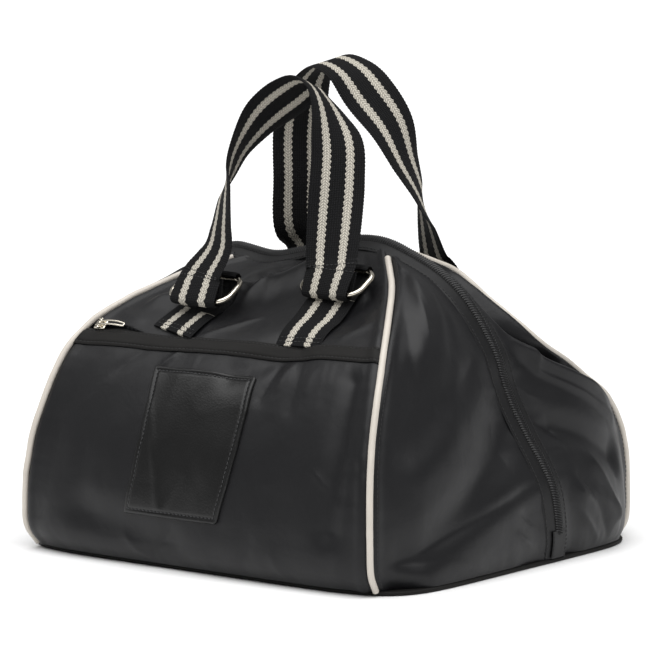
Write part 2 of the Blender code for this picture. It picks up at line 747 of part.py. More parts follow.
def combine(item, other, operation):
    """Join or cut item with another shape, which is then only a hidden helper."""
    step = item.modifiers.new(other.name, "BOOLEAN")
    step.operation = operation
    step.object = other
    other.hide_render = True
    other.display_type = "WIRE"
    COLLECTION.objects.unlink(other)
    HELPERS.objects.link(other)


def add_pin_shape(name, centre, axis, diameter, length):
    """A many-sided bar along axis."""
    shape = bmesh.new()
    bmesh.ops.create_cone(shape, cap_ends=True, segments=HINGE_SIDES, radius1=diameter / 2,
                          radius2=diameter / 2, depth=length)
    turn = Vector((0, 0, 1)).rotation_difference(Vector(axis)).to_matrix()
    for vertex in shape.verts:
        vertex.co = Vector(centre) + turn @ vertex.co
    mesh = bpy.data.meshes.new(name)
    shape.to_mesh(mesh)
    shape.free()
    return add_object(name, mesh, STEEL)


def pocket_slider_frame():
    """Seat of the pocket slider on its zip, and its directions along the zip, up the panel and outward."""
    across = np.full(1, POCKET_SLIDER_INSET / HALF_SPAN - 1)
    rise = np.full(1, (POCKET_ZIP_START + POCKET_ZIP_END) / 2)
    step = 0.01
    seat = front_place(across, rise, np.full(1, BAND_PROUD + GAP))[0]
    sideways = unit(front_place(across + step, rise) - front_place(across, rise))[0]
    upward = unit(front_place(across, rise + step) - front_place(across, rise))[0]
    outward = unit(np.cross(sideways, upward))
    return seat, sideways, np.cross(outward, sideways), outward


def add_pocket_slider():
    """Slider with two ears, and a pull whose pin turns in them."""
    point, sideways, upward, outward = pocket_slider_frame()
    axes = (sideways, upward, outward)
    body = add_block("pocket_zip_slider", point + outward * POCKET_SLIDER_THICKNESS / 2, axes,
                     (POCKET_SLIDER_LENGTH, POCKET_SLIDER_WIDTH, POCKET_SLIDER_THICKNESS), STEEL,
                     POCKET_SLIDER_THICKNESS / 4)
    top = point + outward * POCKET_SLIDER_THICKNESS
    hinge = top + outward * HINGE_HEIGHT
    ear_height = HINGE_HEIGHT + HINGE_PIN_DIAMETER
    ear_place = POCKET_PULL_WIDTH / 2 + HINGE_CLEARANCE + EAR_THICKNESS / 2
    for number, way in enumerate((-1, 1)):
        centre = top + upward * way * ear_place + outward * (ear_height / 2 - POCKET_SLIDER_THICKNESS / 4)
        size = (EAR_LENGTH, EAR_THICKNESS, ear_height + POCKET_SLIDER_THICKNESS / 2)
        combine(body, add_block(f"ear_shape_{number}", centre, axes, size, STEEL, EAR_THICKNESS / 5), "UNION")
    bore = HINGE_PIN_DIAMETER + 2 * HINGE_CLEARANCE
    through = 2 * (ear_place + EAR_THICKNESS)
    combine(body, add_pin_shape("pin_bore_shape", hinge, upward, bore, through), "DIFFERENCE")

    shift = POCKET_PULL_LENGTH / 2 - HINGE_PIN_DIAMETER / 2
    pull = add_block("pocket_zip_pull", hinge + sideways * shift, axes,
                     (POCKET_PULL_LENGTH, POCKET_PULL_WIDTH, POCKET_PULL_THICKNESS), STEEL,
                     POCKET_PULL_THICKNESS / 4)
    pin_length = 2 * (ear_place + EAR_THICKNESS / 2)
    combine(pull, add_pin_shape("pin_shape", hinge, upward, HINGE_PIN_DIAMETER, pin_length), "UNION")


def ring_seat(side, end):
    """A ring's lower bar: its middle, and the directions along the bar, up the ring and outward."""
    seats = FRONT_RING_SEAT if side == FRONT else BACK_RING_SEAT
    middle, seat = seats[END_NAMES[end]]
    reach = RING_HEIGHT - RING_WIRE
    x = middle + np.linspace(-0.5, 0.5, 5)[:, None] * RING_WIDTH
    rise = seat + np.linspace(-0.25, 1, 6) * reach / SEAM_LENGTH
    bed = panel_at(side, x, rise)
    bar = unit(np.mean(bed[-1] - bed[0], axis=0))
    upward = np.mean(bed[:, -1] - bed[:, 1], axis=0)
    upward = unit(upward - bar * (upward @ bar))
    outward = -side * np.cross(bar, upward)
    foot = bed[2, 1]
    layer = WEBBING_THICKNESS + WEBBING_CLEARANCE
    lift = np.max((bed - foot) @ outward) + TAB_CLEARANCE + layer + RING_WIRE / 2
    low = foot + outward * (lift + layer)
    upward = unit(foot + upward * reach + outward * lift - low)
    return low, bar, upward, -side * np.cross(bar, upward)


def add_ring(side, end):
    """An oval wire ring lying on its tab."""
    low, bar, upward, _ = ring_seat(side, end)
    half = (RING_WIDTH - RING_WIRE) / 2 - RING_CORNER
    tall = (RING_HEIGHT - RING_WIRE) / 2 - RING_CORNER
    middle = low + upward * (RING_HEIGHT - RING_WIRE) / 2
    points = []
    for corner, (right, up) in enumerate(((1, 1), (-1, 1), (-1, -1), (1, -1))):
        for step in range(5):
            angle = math.radians(90 * corner + 22.5 * step)
            x = right * half + RING_CORNER * math.cos(angle)
            y = up * tall + RING_CORNER * math.sin(angle)
            points.append(middle + bar * x + upward * y)
    add_cord(f"ring_{SIDE_NAMES[side]}_{END_NAMES[end]}", points, RING_WIRE, STEEL, closed=True)


def add_tab(side, end):
    """A webbing tab up the panel, led under its ring's upper bar and folded back over it."""
    low, bar, upward, outward = ring_seat(side, end)
    high = low + upward * (RING_HEIGHT - RING_WIRE)
    seats = FRONT_RING_SEAT if side == FRONT else BACK_RING_SEAT
    middle, seat = seats[END_NAMES[end]]
    if side == FRONT:
        foot = POCKET_ZIP_END + (TAB_HEM + POCKET_TILT / 2) / SEAM_LENGTH
    else:
        foot = seat - BACK_TAB_LENGTH / SEAM_LENGTH
    lift = TAB_CLEARANCE + WEBBING_THICKNESS / 2
    rises = np.linspace(foot, seat + 0.7 * (RING_HEIGHT - RING_WIRE) / SEAM_LENGTH, 8)
    radius = RING_WIRE / 2 + WEBBING_CLEARANCE + WEBBING_THICKNESS / 2
    angles = np.radians((-90, -45, 0, 45, 90, 125))

    def surface(across, row):
        x = middle + across * WEBBING_WIDTH / 2
        rise = np.interp(row, np.arange(len(rises)), rises)
        laid = panel_at(side, x, rise, np.full(len(row), lift))
        angle = np.interp(row - len(rises), np.arange(len(angles)), angles)[:, None]
        hook = high + bar * across[:, None] * WEBBING_WIDTH / 2
        hook = hook + radius * (upward * np.cos(angle) + outward * np.sin(angle))
        return np.where(row[:, None] < len(rises), laid, hook)

    columns = np.array((-1, 0, 1)) * -side
    rows = np.arange(len(rises) + len(angles))
    name = f"tab_{SIDE_NAMES[side]}_{END_NAMES[end]}"
    add_sheet(name, columns, rows, surface, WEBBING_THICKNESS, WEBBING, offset=0.0)


def handle_loop(side, end, leg):
    """The handle's teardrop round a ring's lower bar, from its tucked end to where the leg begins."""
    low, bar, _, _ = ring_seat(side, end)
    upward = leg - low
    upward = unit(upward - bar * (upward @ bar))
    outward = -side * np.cross(bar, upward)
    radius = RING_WIRE / 2 + WEBBING_CLEARANCE + WEBBING_THICKNESS / 2
    pinch = (WEBBING_THICKNESS + WEBBING_CLEARANCE) / 2
    rows = [(-pinch, LOOP_DEPTH), (-radius * 0.8, LOOP_DEPTH * 0.5)]
    rows += [(radius * math.cos(a), radius * math.sin(a)) for a in np.radians((180, 220, 270, 320, 360))]
    rows += [(radius * 0.8, LOOP_DEPTH * 0.5), (pinch, LOOP_DEPTH)]
    return [(*(low + outward * out + upward * rise), *(bar * end)) for out, rise in rows]


def add_handle(side):
    """A webbing handle: a loop round each ring, with the turning arch between them."""
    rows = np.array(FRONT_HANDLE_LINE if side == FRONT else BACK_HANDLE_LINE)
    top = FRONT_HANDLE_TOP if side == FRONT else BACK_HANDLE_TOP
    low = {end: ring_seat(side, end)[0] for end in (LEFT, RIGHT)}
    share = np.clip((1 + rows[:, :1]) / 2, 0, 1)
    base = low[LEFT] * (1 - share) + low[RIGHT] * share
    x = rows[:, 0] * TAB_SPACING / 2
    y = base[:, 1] - side * rows[:, 1] * HALF_DEPTH
    z = base[:, 2] + rows[:, 2] * (top - base[:, 2])
    turn = np.radians(rows[:, 3])
    width = np.column_stack((np.cos(turn), -side * np.sin(turn), -rows[:, 4]))
    arch = np.column_stack((x, y, z, unit(width)))
    right = handle_loop(side, RIGHT, arch[0, :3])
    left = handle_loop(side, LEFT, arch[-1, :3])
    line = smooth_line(np.vstack((right, arch, left[::-1])), steps=2)[0]
    tangent = unit(np.gradient(line[:, :3], axis=0))
    facing = line[:, 3:]
    facing = unit(facing - tangent * np.sum(facing * tangent, axis=1)[:, None])
    add_ribbon(f"handle_{SIDE_NAMES[side]}", line[:, :3], WEBBING_WIDTH, facing, WEBBING_THICKNESS, WEBBING)


def main():
    """Build the bag."""
    add_base_board()
    add_front_panel()
    add_pocket()
    add_pocket_slider()
    add_patch()
    add_back_panel()
    add_gores()
    add_main_zip()
    add_zip_slider()
    for side in (FRONT, BACK):
        for end in (LEFT, RIGHT):
            add_ring(side, end)
            add_tab(side, end)
        add_handle(side)


main()
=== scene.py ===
"""Riding helmet bag: nylon panels, piping, zips, front pocket, leather patch, rings and webbing handles.

Laid out as a Blender add-on and run as a script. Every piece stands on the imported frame, in metres, +Z up,
with the bag's length along X and its front facing -Y.
"""

import json
import math
from functools import partial

import bpy
import numpy as np
from bpy.props import FloatProperty, FloatVectorProperty, PointerProperty
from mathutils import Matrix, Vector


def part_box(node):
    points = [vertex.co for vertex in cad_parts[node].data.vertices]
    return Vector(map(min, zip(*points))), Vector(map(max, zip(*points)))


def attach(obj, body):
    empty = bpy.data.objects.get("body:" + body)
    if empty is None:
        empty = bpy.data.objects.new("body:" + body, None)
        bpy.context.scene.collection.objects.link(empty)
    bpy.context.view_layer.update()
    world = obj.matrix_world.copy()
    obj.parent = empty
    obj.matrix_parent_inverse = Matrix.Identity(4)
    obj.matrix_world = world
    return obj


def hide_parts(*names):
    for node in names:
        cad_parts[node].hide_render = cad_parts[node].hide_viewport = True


bl_info = {
    "name": "Riding helmet bag",
    "version": (1, 0, 0),
    "blender": (4, 5, 0),
    "location": "3D View > Sidebar > Bag",
    "description": "Builds the pieces of a soft riding helmet bag round its packed frame",
    "category": "Object",
}

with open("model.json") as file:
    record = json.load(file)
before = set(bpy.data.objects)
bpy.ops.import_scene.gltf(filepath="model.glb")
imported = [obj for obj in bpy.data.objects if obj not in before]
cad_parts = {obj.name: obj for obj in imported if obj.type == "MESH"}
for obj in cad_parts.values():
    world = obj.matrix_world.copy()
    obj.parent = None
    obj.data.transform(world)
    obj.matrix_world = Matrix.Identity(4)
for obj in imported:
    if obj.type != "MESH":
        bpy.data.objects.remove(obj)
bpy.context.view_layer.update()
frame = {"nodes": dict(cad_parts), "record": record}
BAG, PULL = "bag", "pull"
FRONT, BACK = -1, 1
LEFT, RIGHT = -1, 1
SIDE_NAMES = {FRONT: "front", BACK: "back"}
END_NAMES = {LEFT: "left", RIGHT: "right"}
CORNERS = ((FRONT, LEFT), (FRONT, RIGHT), (BACK, LEFT), (BACK, RIGHT))
LENGTHWISE = np.array((1.0, 0, 0))


def box_size(node, axis):
    """Size of a CAD node along an axis, in metres."""
    low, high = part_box(node)
    return high[axis] - low[axis]


def linear(code):
    """A six-figure sRGB hex code as linear red, green and blue."""
    values = np.array([int(code[k:k + 2], 16) / 255 for k in (0, 2, 4)])
    return tuple(np.where(values <= 0.04045, values / 12.92, ((values + 0.055) / 1.055) ** 2.4))


# Sizes of the bag in metres, as in the frame's solids
BASE_LENGTH = box_size("base_board", 0)
BAG_DEPTH = box_size("base_board", 1)
BASE_THICKNESS = box_size("base_board", 2)
BAG_LENGTH = 0.348
BAG_HEIGHT = 0.217
SEAM_SPAN = 0.296
APEX_SPAN = 0.134
LEFT_SLUMP = 0.008
RIDGE_PITCH = math.radians(24)
GAP = 0.0003
HALF_LENGTH = BAG_LENGTH / 2
HALF_DEPTH = BAG_DEPTH / 2
HALF_SPAN = SEAM_SPAN / 2
HEM = BASE_THICKNESS + GAP

# The base's rounded rectangle: the higher the power, the squarer its corners. The dressed board ends a little
# past the solid at the bag's ends, and a little behind it at the front and back.
BASE_POWER = 7
BOARD_OUTSET = 0.0012
BOARD_INSET = 0.003

# Section through the board's rim.
# Columns: inset from its edge, in metres, and height (of a third of the board's).
BOARD_RIM = (
    (0.060, 0),
    (0.012, 0),
    (0.0012, 0),
    (0.0004, 0.3),
    (0, 0.9),
    (0, 2.1),
    (0.0004, 2.7),
    (0.0012, 3),
    (0.012, 3),
    (0.060, 3),
)
RIM_RADIUS = 0.16

# Main zip: its coil, whose toothed body is a share of its tape, its plackets and its cloth stops
COIL_WIDTH = 0.006
COIL_REACH = 0.0050
COIL_BODY = 0.8
COIL_BED = 0.0002
COIL_RISE = 0.0016
TOOTH_RISE = 0.0009
TOOTH_SLANT = 0.35
TEETH_REACH = 0.0039
PLACKET_WIDTH = 0.011
BACK_PLACKET_NARROWER = 0.0036
PLACKET_OVERLAP = 0.0008
PLACKET_THICKNESS = 0.0016
PLACKET_SINK = 0.0002
PLACKET_STITCH_INSET = 0.0016
PLACKET_CLEARANCE = 0.0009
PLACKET_LAP = {FRONT: 0.003, BACK: 0.0065}
PLACKET_REACH = COIL_WIDTH / 2 + GAP + PLACKET_WIDTH
SEAM_TUCK = 0.0016
END_TAB_HEIGHT = 0.018
STOP_WIDTH = 0.0165
STOP_THICKNESS = 0.0010
STOP_STITCH_REACH = 0.0070
SLIDER_BODY = 0.011

# Pocket and patch
POCKET_HEIGHT = 0.156
POCKET_TILT = 0.010
BAND_HEIGHT = 0.013
BAND_CLEARANCE = 0.0008
POCKET_ZIP_HEIGHT = 0.005
POCKET_TOOTH_PITCH = 0.0014
PATCH_WIDTH = 0.082
PATCH_HEIGHT = 0.1045
PATCH_FOOT = 0.037
PATCH_TOP_TILT = -0.025
PATCH_CORNER = 0.003
PATCH_CLEARANCE = 0.0006
PATCH_STITCH_INSET = 0.0036

# Rings, tabs and handles
TAB_SPACING = 0.102
TAB_FOOT_SPREAD = 0.054
TAB_LIFT = 0.0019
TAB_CLEARANCE = 0.0012
TAB_STITCHES = (0.003, 0.0065)
BACK_TAB_LENGTH = 0.045
RING_WIRE = 0.0038
RING_REACH = 0.0272
RING_WIDTH = 0.053
RING_HALF = 0.0246
RING_CORNER = 0.009
WEBBING_LAYER = 0.0026
WEBBING_CLEARANCE = 0.0006
FRONT_HANDLE_TOP = 0.3235
BACK_HANDLE_TOP = 0.335
HANDLE_STITCHES = (0.044, 0.047)

# A tab's stripes run out under its ring: past it, places across the webbing are squeezed to this share.
PLAIN_TURN = 0.25

# Seam stitches beside the piping, and stitches across webbing, each side of its middle
SEAM_STITCH_INSET = 0.0042
CROSS_STITCH_REACH = 0.017

# Front seam between dome panel and gore, from the foot up.
# Columns: height (of BAG_HEIGHT), span (of SEAM_SPAN / 2), depth (of BAG_DEPTH / 2).
FRONT_SEAM = (
    (0.075, 1.017, 0.990),
    (0.165, 1.019, 1.000),
    (0.255, 1.013, 0.994),
    (0.370, 0.996, 0.969),
    (0.480, 0.970, 0.920),
    (0.590, 0.941, 0.851),
    (0.665, 0.908, 0.782),
    (0.740, 0.847, 0.676),
    (0.812, 0.746, 0.515),
    (0.886, 0.600, 0.305),
)

# Back seam, which leans further over. The same columns.
BACK_SEAM = (
    (0.065, 1.013, 0.972),
    (0.170, 1.018, 0.972),
    (0.260, 1.014, 0.968),
    (0.350, 1.000, 0.952),
    (0.440, 0.982, 0.887),
    (0.505, 0.967, 0.800),
    (0.596, 0.939, 0.621),
    (0.669, 0.905, 0.453),
    (0.743, 0.815, 0.370),
    (0.837, 0.655, 0.290),
    (0.900, 0.530, 0.235),
)

# One end of the main zip, from its foot up to the shoulder.
# Columns: reach (of BAG_LENGTH / 2), depth (of BAG_DEPTH / 2), height (of BAG_HEIGHT).
ZIP_END = (
    (0.981, 0.232, 0.016),
    (1.005, 0.207, 0.100),
    (1.004, 0.168, 0.232),
    (0.966, 0.142, 0.317),
    (0.917, 0.119, 0.391),
    (0.867, 0.094, 0.475),
    (0.831, 0.069, 0.559),
    (0.810, 0.040, 0.653),
    (0.771, 0.018, 0.728),
    (0.720, -0.005, 0.803),
    (0.654, -0.025, 0.869),
    (0.560, -0.042, 0.926),
)

# How far the zip's last points droop at the left end (of BAG_HEIGHT).
LEFT_DROOP = (0.008, 0.022, 0.042, 0.048, 0.020)

# The zip over the ridge, left to right, sagging left of the middle. The same columns.
ZIP_RIDGE = (
    (-0.440, -0.053, 0.943),
    (-0.250, -0.053, 0.926),
    (-0.110, -0.053, 0.945),
    (0.035, -0.053, 0.975),
    (0.140, -0.053, 0.995),
    (0.235, -0.053, 1.004),
    (0.330, -0.053, 0.998),
    (0.434, -0.053, 0.972),
)

# Crown of the dome panels in front of the straight line between their seams.
# Columns: rise (of the seam's length), crown (of BAG_DEPTH).
DOME_CROWN = {
    FRONT: ((0, 0), (0.10, 0.008), (0.30, 0.004), (0.50, -0.002), (0.75, -0.012), (0.92, 0), (1, 0)),
    BACK: ((0, 0), (0.10, 0.012), (0.30, 0.030), (0.50, 0.020), (0.75, -0.016), (0.92, 0), (1, 0)),
}

# Crown of the gores between piping and zip. Columns: rise (of the seam's length), crown (of BAG_DEPTH).
GORE_CROWN = {
    FRONT: ((0, 0), (0.15, 0.014), (0.45, 0.020), (0.75, 0.030), (1, 0)),
    BACK: ((0, 0), (0.15, 0.020), (0.40, 0.030), (0.60, -0.020), (0.80, -0.050), (1, 0)),
}

# The left gores' share of that crown, and the gores' share of the dome panels' soft dents
LEFT_GORE_CROWN = 0.3
GORE_SLACK = 0.7

# How far from a seam the folds reach their full height, in metres: beside long seams, and elsewhere
FOLD_FADE_WIDE = 0.022
FOLD_FADE = 0.020

# How far from a seam the gathers start, in metres: beside piping, and beside the zip and the base
PIPING_REST = 0.003
SEAM_REST = 0.004

# Sides of the leather patch, which widens upwards and leans with the cloth.
# Columns: share of its height, left edge and right edge across the panel, in metres.
PATCH_SHAPE = (
    (0.0, -0.0535, 0.0275),
    (0.25, -0.0495, 0.0330),
    (0.5, -0.0490, 0.0370),
    (0.75, -0.0520, 0.0385),
    (1.0, -0.0578, 0.0364),
)

# Folds of each cloth piece.
# Columns: start across and up, end across and up, width and height in millimetres, and how soft the crest is
# (1 is a sharp crease, 2 a round fold). across and up are the piece's own shares.
FRONT_FOLDS = (
    (0.20, 0.93, -0.30, 0.80, 15, 6.5, 2.0),
    (-0.10, 0.96, -0.34, 0.87, 13, -7.6, 2.0),
    (-0.75, 0.72, -0.35, 0.80, 11, 4.3, 2.0),
    (0.55, 0.70, 0.85, 0.80, 15, -4.3, 2.0),
    (-0.62, 0.12, -0.10, 0.06, 13, -3.0, 2.0),
    (0.10, 0.50, 0.45, 0.58, 13, -3.5, 2.0),
    (0.80, 0.15, 0.85, 0.50, 10, -4.3, 2.0),
    (-0.07, 0.98, -0.195, 0.785, 3.0, 1.8, 1.2),
    (-0.21, 0.603, 0.05, 0.695, 4.0, 1.2, 1.4),
    (0.30, 0.62, 0.52, 0.68, 6.0, -1.4, 1.7),
    (-0.52, 0.86, -0.42, 0.70, 5.0, -1.2, 1.6),
    (0.72, 0.64, 0.90, 0.70, 5.0, 1.2, 1.6),
    (0.70, 0.93, 0.88, 0.78, 6.0, -1.5, 1.6),
    (-0.95, 0.66, -0.70, 0.62, 5.0, 1.0, 1.5),
)
POCKET_FOLDS = (
    (-0.36, 0.495, -0.30, 0.535, 3.0, 1.4, 1.3),
    (-0.62, 0.47, -0.52, 0.53, 6.0, -1.2, 1.6),
    (-0.86, 0.36, -0.80, 0.50, 9.0, -0.8, 1.9),
    (0.36, 0.53, 0.30, 0.44, 4.5, -1.6, 1.5),
    (0.43, 0.53, 0.40, 0.47, 4.0, 1.2, 1.5),
    (0.52, 0.535, 0.50, 0.42, 6.0, -1.0, 1.7),
    (0.62, 0.535, 0.58, 0.47, 5.0, 0.7, 1.7),
    (0.74, 0.535, 0.70, 0.45, 6.0, -0.6, 1.7),
    (0.93, 0.08, 0.925, 0.30, 5.0, -0.8, 1.8),
    (0.90, 0.24, 0.93, 0.46, 6.0, -0.7, 1.8),
    (0.86, 0.05, 0.84, 0.20, 6.0, 0.7, 1.8),
    (-0.36, 0.07, -0.24, 0.015, 4.0, 1.4, 1.4),
    (-0.10, 0.10, -0.22, 0.02, 5.0, -1.2, 1.6),
    (0.30, 0.02, 0.38, 0.09, 6.0, -1.1, 1.6),
    (0.55, 0.02, 0.50, 0.07, 4.0, 0.9, 1.4),
    (0.70, 0.28, 0.78, 0.24, 2.5, 0.8, 1.2),
    (-0.90, 0.10, -0.86, 0.30, 9.0, -0.7, 1.9),
)
BACK_FOLDS = (
    (-0.05, 0.62, 0.05, 0.85, 20, -6.5, 2.0),
    (-0.75, 0.50, -0.80, 0.75, 17, -4.3, 2.0),
    (-0.60, 0.25, 0.30, 0.35, 24, 4.8, 2.0),
    (0.75, 0.15, 0.65, 0.45, 20, -4.3, 2.0),
    (-0.40, 0.30, 0.10, 0.52, 6.0, 1.8, 1.5),
    (0.20, 0.10, 0.45, 0.30, 8.0, -1.8, 1.7),
    (0.35, 0.55, 0.80, 0.62, 6.0, 1.6, 1.5),
    (-0.90, 0.20, -0.70, 0.42, 6.0, -1.5, 1.6),
    (-0.25, 0.93, 0.15, 0.86, 5.0, 1.4, 1.4),
)
FRONT_GORE_FOLDS = (
    (0.95, 0.36, 0.20, 0.08, 16, -6.5, 2.0),
    (0.90, 0.52, 0.25, 0.28, 17, 3.5, 2.0),
    (0.30, 0.60, 0.42, 0.85, 14, 2.2, 2.0),
    (0.60, 0.60, 0.70, 0.82, 12, -1.6, 2.0),
    (1.00, 0.218, 0.125, 0.08, 5.0, -1.6, 1.6),
    (0.34, 0.76, 0.37, 0.64, 5.0, 0.7, 1.8),
    (0.18, 0.70, 0.25, 0.50, 7.0, -0.8, 1.8),
    (0.62, 0.55, 0.50, 0.40, 9.0, 0.8, 1.9),
    (0.40, 0.43, 0.45, 0.40, 3.5, 0.6, 1.4),
    (0.80, 0.09, 0.93, 0.03, 3.5, 1.6, 1.3),
    (0.86, 0.14, 0.98, 0.09, 4.0, -1.4, 1.5),
    (0.42, 0.05, 0.55, 0.02, 4.0, 1.2, 1.4),
    (0.90, 0.60, 0.70, 0.52, 6.0, -0.8, 1.8),
)
BACK_GORE_FOLDS = (
    (1.00, 0.78, 0.10, 0.36, 15, 12.0, 2.0),
    (0.75, 0.82, 0.15, 0.55, 16, -16.0, 2.0),
    (0.95, 0.40, 0.35, 0.22, 13, -6.5, 2.0),
    (0.80, 0.16, 0.45, 0.08, 11, 4.3, 2.0),
    (0.27, 0.768, 0.625, 0.515, 5.0, 2.2, 1.5),
    (0.625, 0.515, 0.02, 0.227, 5.0, 2.4, 1.4),
    (1.00, 0.50, 0.80, 0.44, 3.5, 1.6, 1.3),
    (0.98, 0.40, 0.80, 0.34, 4.0, -1.8, 1.5),
    (1.00, 0.31, 0.82, 0.28, 3.5, 1.5, 1.3),
    (0.895, 0.144, 0.585, 0.01, 4.0, 2.0, 1.3),
    (0.78, 0.20, 0.50, 0.03, 5.0, -2.2, 1.5),
    (0.60, 0.22, 0.35, 0.03, 5.0, 1.8, 1.5),
    (0.30, 0.55, 0.10, 0.42, 5.0, -2.0, 1.6),
)

# The folds that the pocket, the patch and the rings follow
BROAD_FOLDS = {FRONT: FRONT_FOLDS[:7], BACK: BACK_FOLDS[:4]}

# Each ring's place on its dome panel: across, in metres, and its lower bar's rise (of the seam's length).
RING_SEAT = {
    (FRONT, LEFT): (-0.045, 0.688),
    (FRONT, RIGHT): (0.051, 0.780),
    (BACK, LEFT): (-0.051, 0.740),
    (BACK, RIGHT): (0.051, 0.660),
}

# Handle line from its right ring to its left ring.
# Columns: across (of TAB_SPACING / 2), lean from the rings towards the other face (of BAG_DEPTH / 2),
# rise (of the way from the rings up to the handle's top), turn of the webbing's width away from the
# bag's length (degrees), and dip of the webbing's inner edge (of its width).
FRONT_HANDLE_LINE = (
    (0.958, 0.060, 0.188, 17, -0.09),
    (0.888, 0.120, 0.385, 33, -0.05),
    (0.843, 0.160, 0.553, 45, 0.05),
    (0.769, 0.200, 0.718, 54, 0.16),
    (0.559, 0.245, 0.871, 80, 0.42),
    (0.330, 0.280, 0.971, 93, 0.49),
    (0.121, 0.300, 1.005, 84, 0.40),
    (-0.174, 0.317, 0.942, 73, 0.56),
    (-0.454, 0.320, 0.867, 76, 0.49),
    (-0.668, 0.310, 0.783, 90, 0.29),
    (-0.814, 0.275, 0.679, 104, 0.08),
    (-0.859, 0.230, 0.570, 117, -0.01),
    (-0.843, 0.185, 0.478, 137, -0.03),
    (-0.789, 0.130, 0.335, 148, -0.02),
    (-0.770, 0.090, 0.221, 160, -0.02),
)
BACK_HANDLE_LINE = (
    (0.827, 0.000, 0.209, 21, 0.00),
    (0.805, 0.050, 0.358, 37, 0.02),
    (0.821, 0.115, 0.479, 62, 0.12),
    (0.691, 0.160, 0.606, 79, 0.26),
    (0.504, 0.180, 0.750, 103, 0.40),
    (0.187, 0.190, 0.867, 121, 0.40),
    (-0.137, 0.180, 0.957, 113, 0.17),
    (-0.508, 0.163, 0.991, 103, 0.19),
    (-0.802, 0.144, 0.933, 106, 0.23),
    (-1.017, 0.120, 0.826, 120, 0.17),
    (-1.131, 0.105, 0.675, 134, 0.11),
    (-1.129, 0.105, 0.489, 136, 0.08),
    (-1.147, 0.095, 0.287, 140, 0.10),
    (-1.100, 0.045, 0.200, 163, 0.00),
)


# Names, shares and lines


def corner_name(side, end):
    """The words for a corner of the bag, such as front_left."""
    return f"{SIDE_NAMES[side]}_{END_NAMES[end]}"


def unit(v):
    """Vectors scaled to length 1."""
    return v / np.linalg.norm(v, axis=-1, keepdims=True)


def square_to(v, tangent):
    """Unit vectors as near to v as they can be when square to a line's tangent."""
    return unit(v - tangent * np.sum(v * tangent, axis=1)[:, None])


def ramp(distance, reach):
    """A rise from 0 to 1: distance over reach, held between the two."""
    return np.clip(distance / reach, 0, 1)


def smooth_step(share):
    """A rise from 0 to 1: 3 times share squared, less 2 times its cube."""
    share = np.clip(share, 0, 1)
    return share * share * (3 - 2 * share)


def bell(distance, width):
    """A round swell: e to the minus square of distance over width."""
    return np.exp(-(distance / width) ** 2)


def distances(points):
    """Each point's distance along the line that it is on."""
    return np.concatenate(((0,), np.cumsum(np.linalg.norm(np.diff(points, axis=0), axis=1))))


def read_at(places, distance, values):
    """Values known at distances along a line, column by column, read at other places along it."""
    return np.stack([np.interp(places, distance, column) for column in values.T], axis=-1)


def smooth_line(points, steps=14):
    """A Catmull-Rom line through points, as closely spaced points and their distance along it."""
    p = np.asarray(points, float)
    p = np.vstack((2 * p[0] - p[1], p, 2 * p[-1] - p[-2]))
    t = np.linspace(0, 1, steps, endpoint=False)[:, None]
    spans = []
    for a, b, c, d in zip(p[:-3], p[1:-2], p[2:-1], p[3:]):
        spans.append(b + 0.5 * t * (c - a + t * (2 * a - 5 * b + 4 * c - d + t * (3 * (b - c) + d - a))))
    spans.append(p[-2:-1])
    line = np.vstack(spans)
    return line, distances(line[:, :3])


def along(line, share):
    """The points at shares 0 to 1 of a line's length."""
    points, distance = line
    return read_at(np.clip(share, 0, 1) * distance[-1], distance, points)


def rounded(share):
    """Reach of a rounded rectangle, of its half size, at a share of its other half size.

    It is (1 - share to BASE_POWER) to 1 over BASE_POWER.
    """
    return (1 - np.clip(share, 0, 1) ** BASE_POWER) ** (1 / BASE_POWER)


def outline_depth(x):
    """Half depth of the base's rounded rectangle at a distance x from its middle."""
    return HALF_DEPTH * rounded(np.abs(x) / (BASE_LENGTH / 2))


def zip_line():
    """The zip's middle line, from its left foot over the ridge to its right foot."""
    size = np.array((HALF_LENGTH, HALF_DEPTH, BAG_HEIGHT))
    end = np.array(ZIP_END)
    end[0, 2] = HEM / BAG_HEIGHT
    left = end * (-1, 1, 1)
    left[-len(LEFT_DROOP):, 2] -= LEFT_DROOP
    return smooth_line(np.vstack((left, ZIP_RIDGE, end[::-1])) * size)


ZIP = zip_line()
ZIP_LENGTH = ZIP[1][-1]


def apex_share(end):
    """Share of the zip's length at which the gores of one end run out."""
    shares = np.linspace(0.2, 0.8, 600)
    x = along(ZIP, shares)[:, 0]
    return shares[np.argmin(np.abs(x - end * APEX_SPAN / 2))]


APEX = {LEFT: apex_share(LEFT), RIGHT: apex_share(RIGHT)}


def ridge_direction(side):
    """The way down from the ridge, square to the zip, on the front or the back."""
    return np.array((0, side * math.cos(RIDGE_PITCH), -math.sin(RIDGE_PITCH)))


def seam_line(side, end):
    """The seam between a dome panel and a gore, from the base up to the placket's edge, through its table."""
    rows = FRONT_SEAM if side == FRONT else BACK_SEAM
    points = [(end * HALF_SPAN, side * outline_depth(HALF_SPAN), HEM)]
    for height, span, depth in rows:
        drop = LEFT_SLUMP * height ** 6 if end == LEFT else 0
        points.append((end * span * HALF_SPAN, side * depth * HALF_DEPTH, height * BAG_HEIGHT - drop))
    points.append(along(ZIP, APEX[end]) + ridge_direction(side) * (PLACKET_REACH + PLACKET_CLEARANCE))
    return smooth_line(points)


SEAM = {corner: seam_line(*corner) for corner in CORNERS}
SEAM_LENGTH = SEAM[FRONT, RIGHT][1][-1]


def gore_ends(side, end, rise):
    """The seam point, the zip point and the unit vector from zip to seam at a gore's rise 0 to 1."""
    seam = along(SEAM[side, end], rise)
    apex = APEX[end]
    zip_share = apex * rise if end == LEFT else 1 - (1 - apex) * rise
    middle = along(ZIP, zip_share)
    return seam, middle, unit(seam - middle)


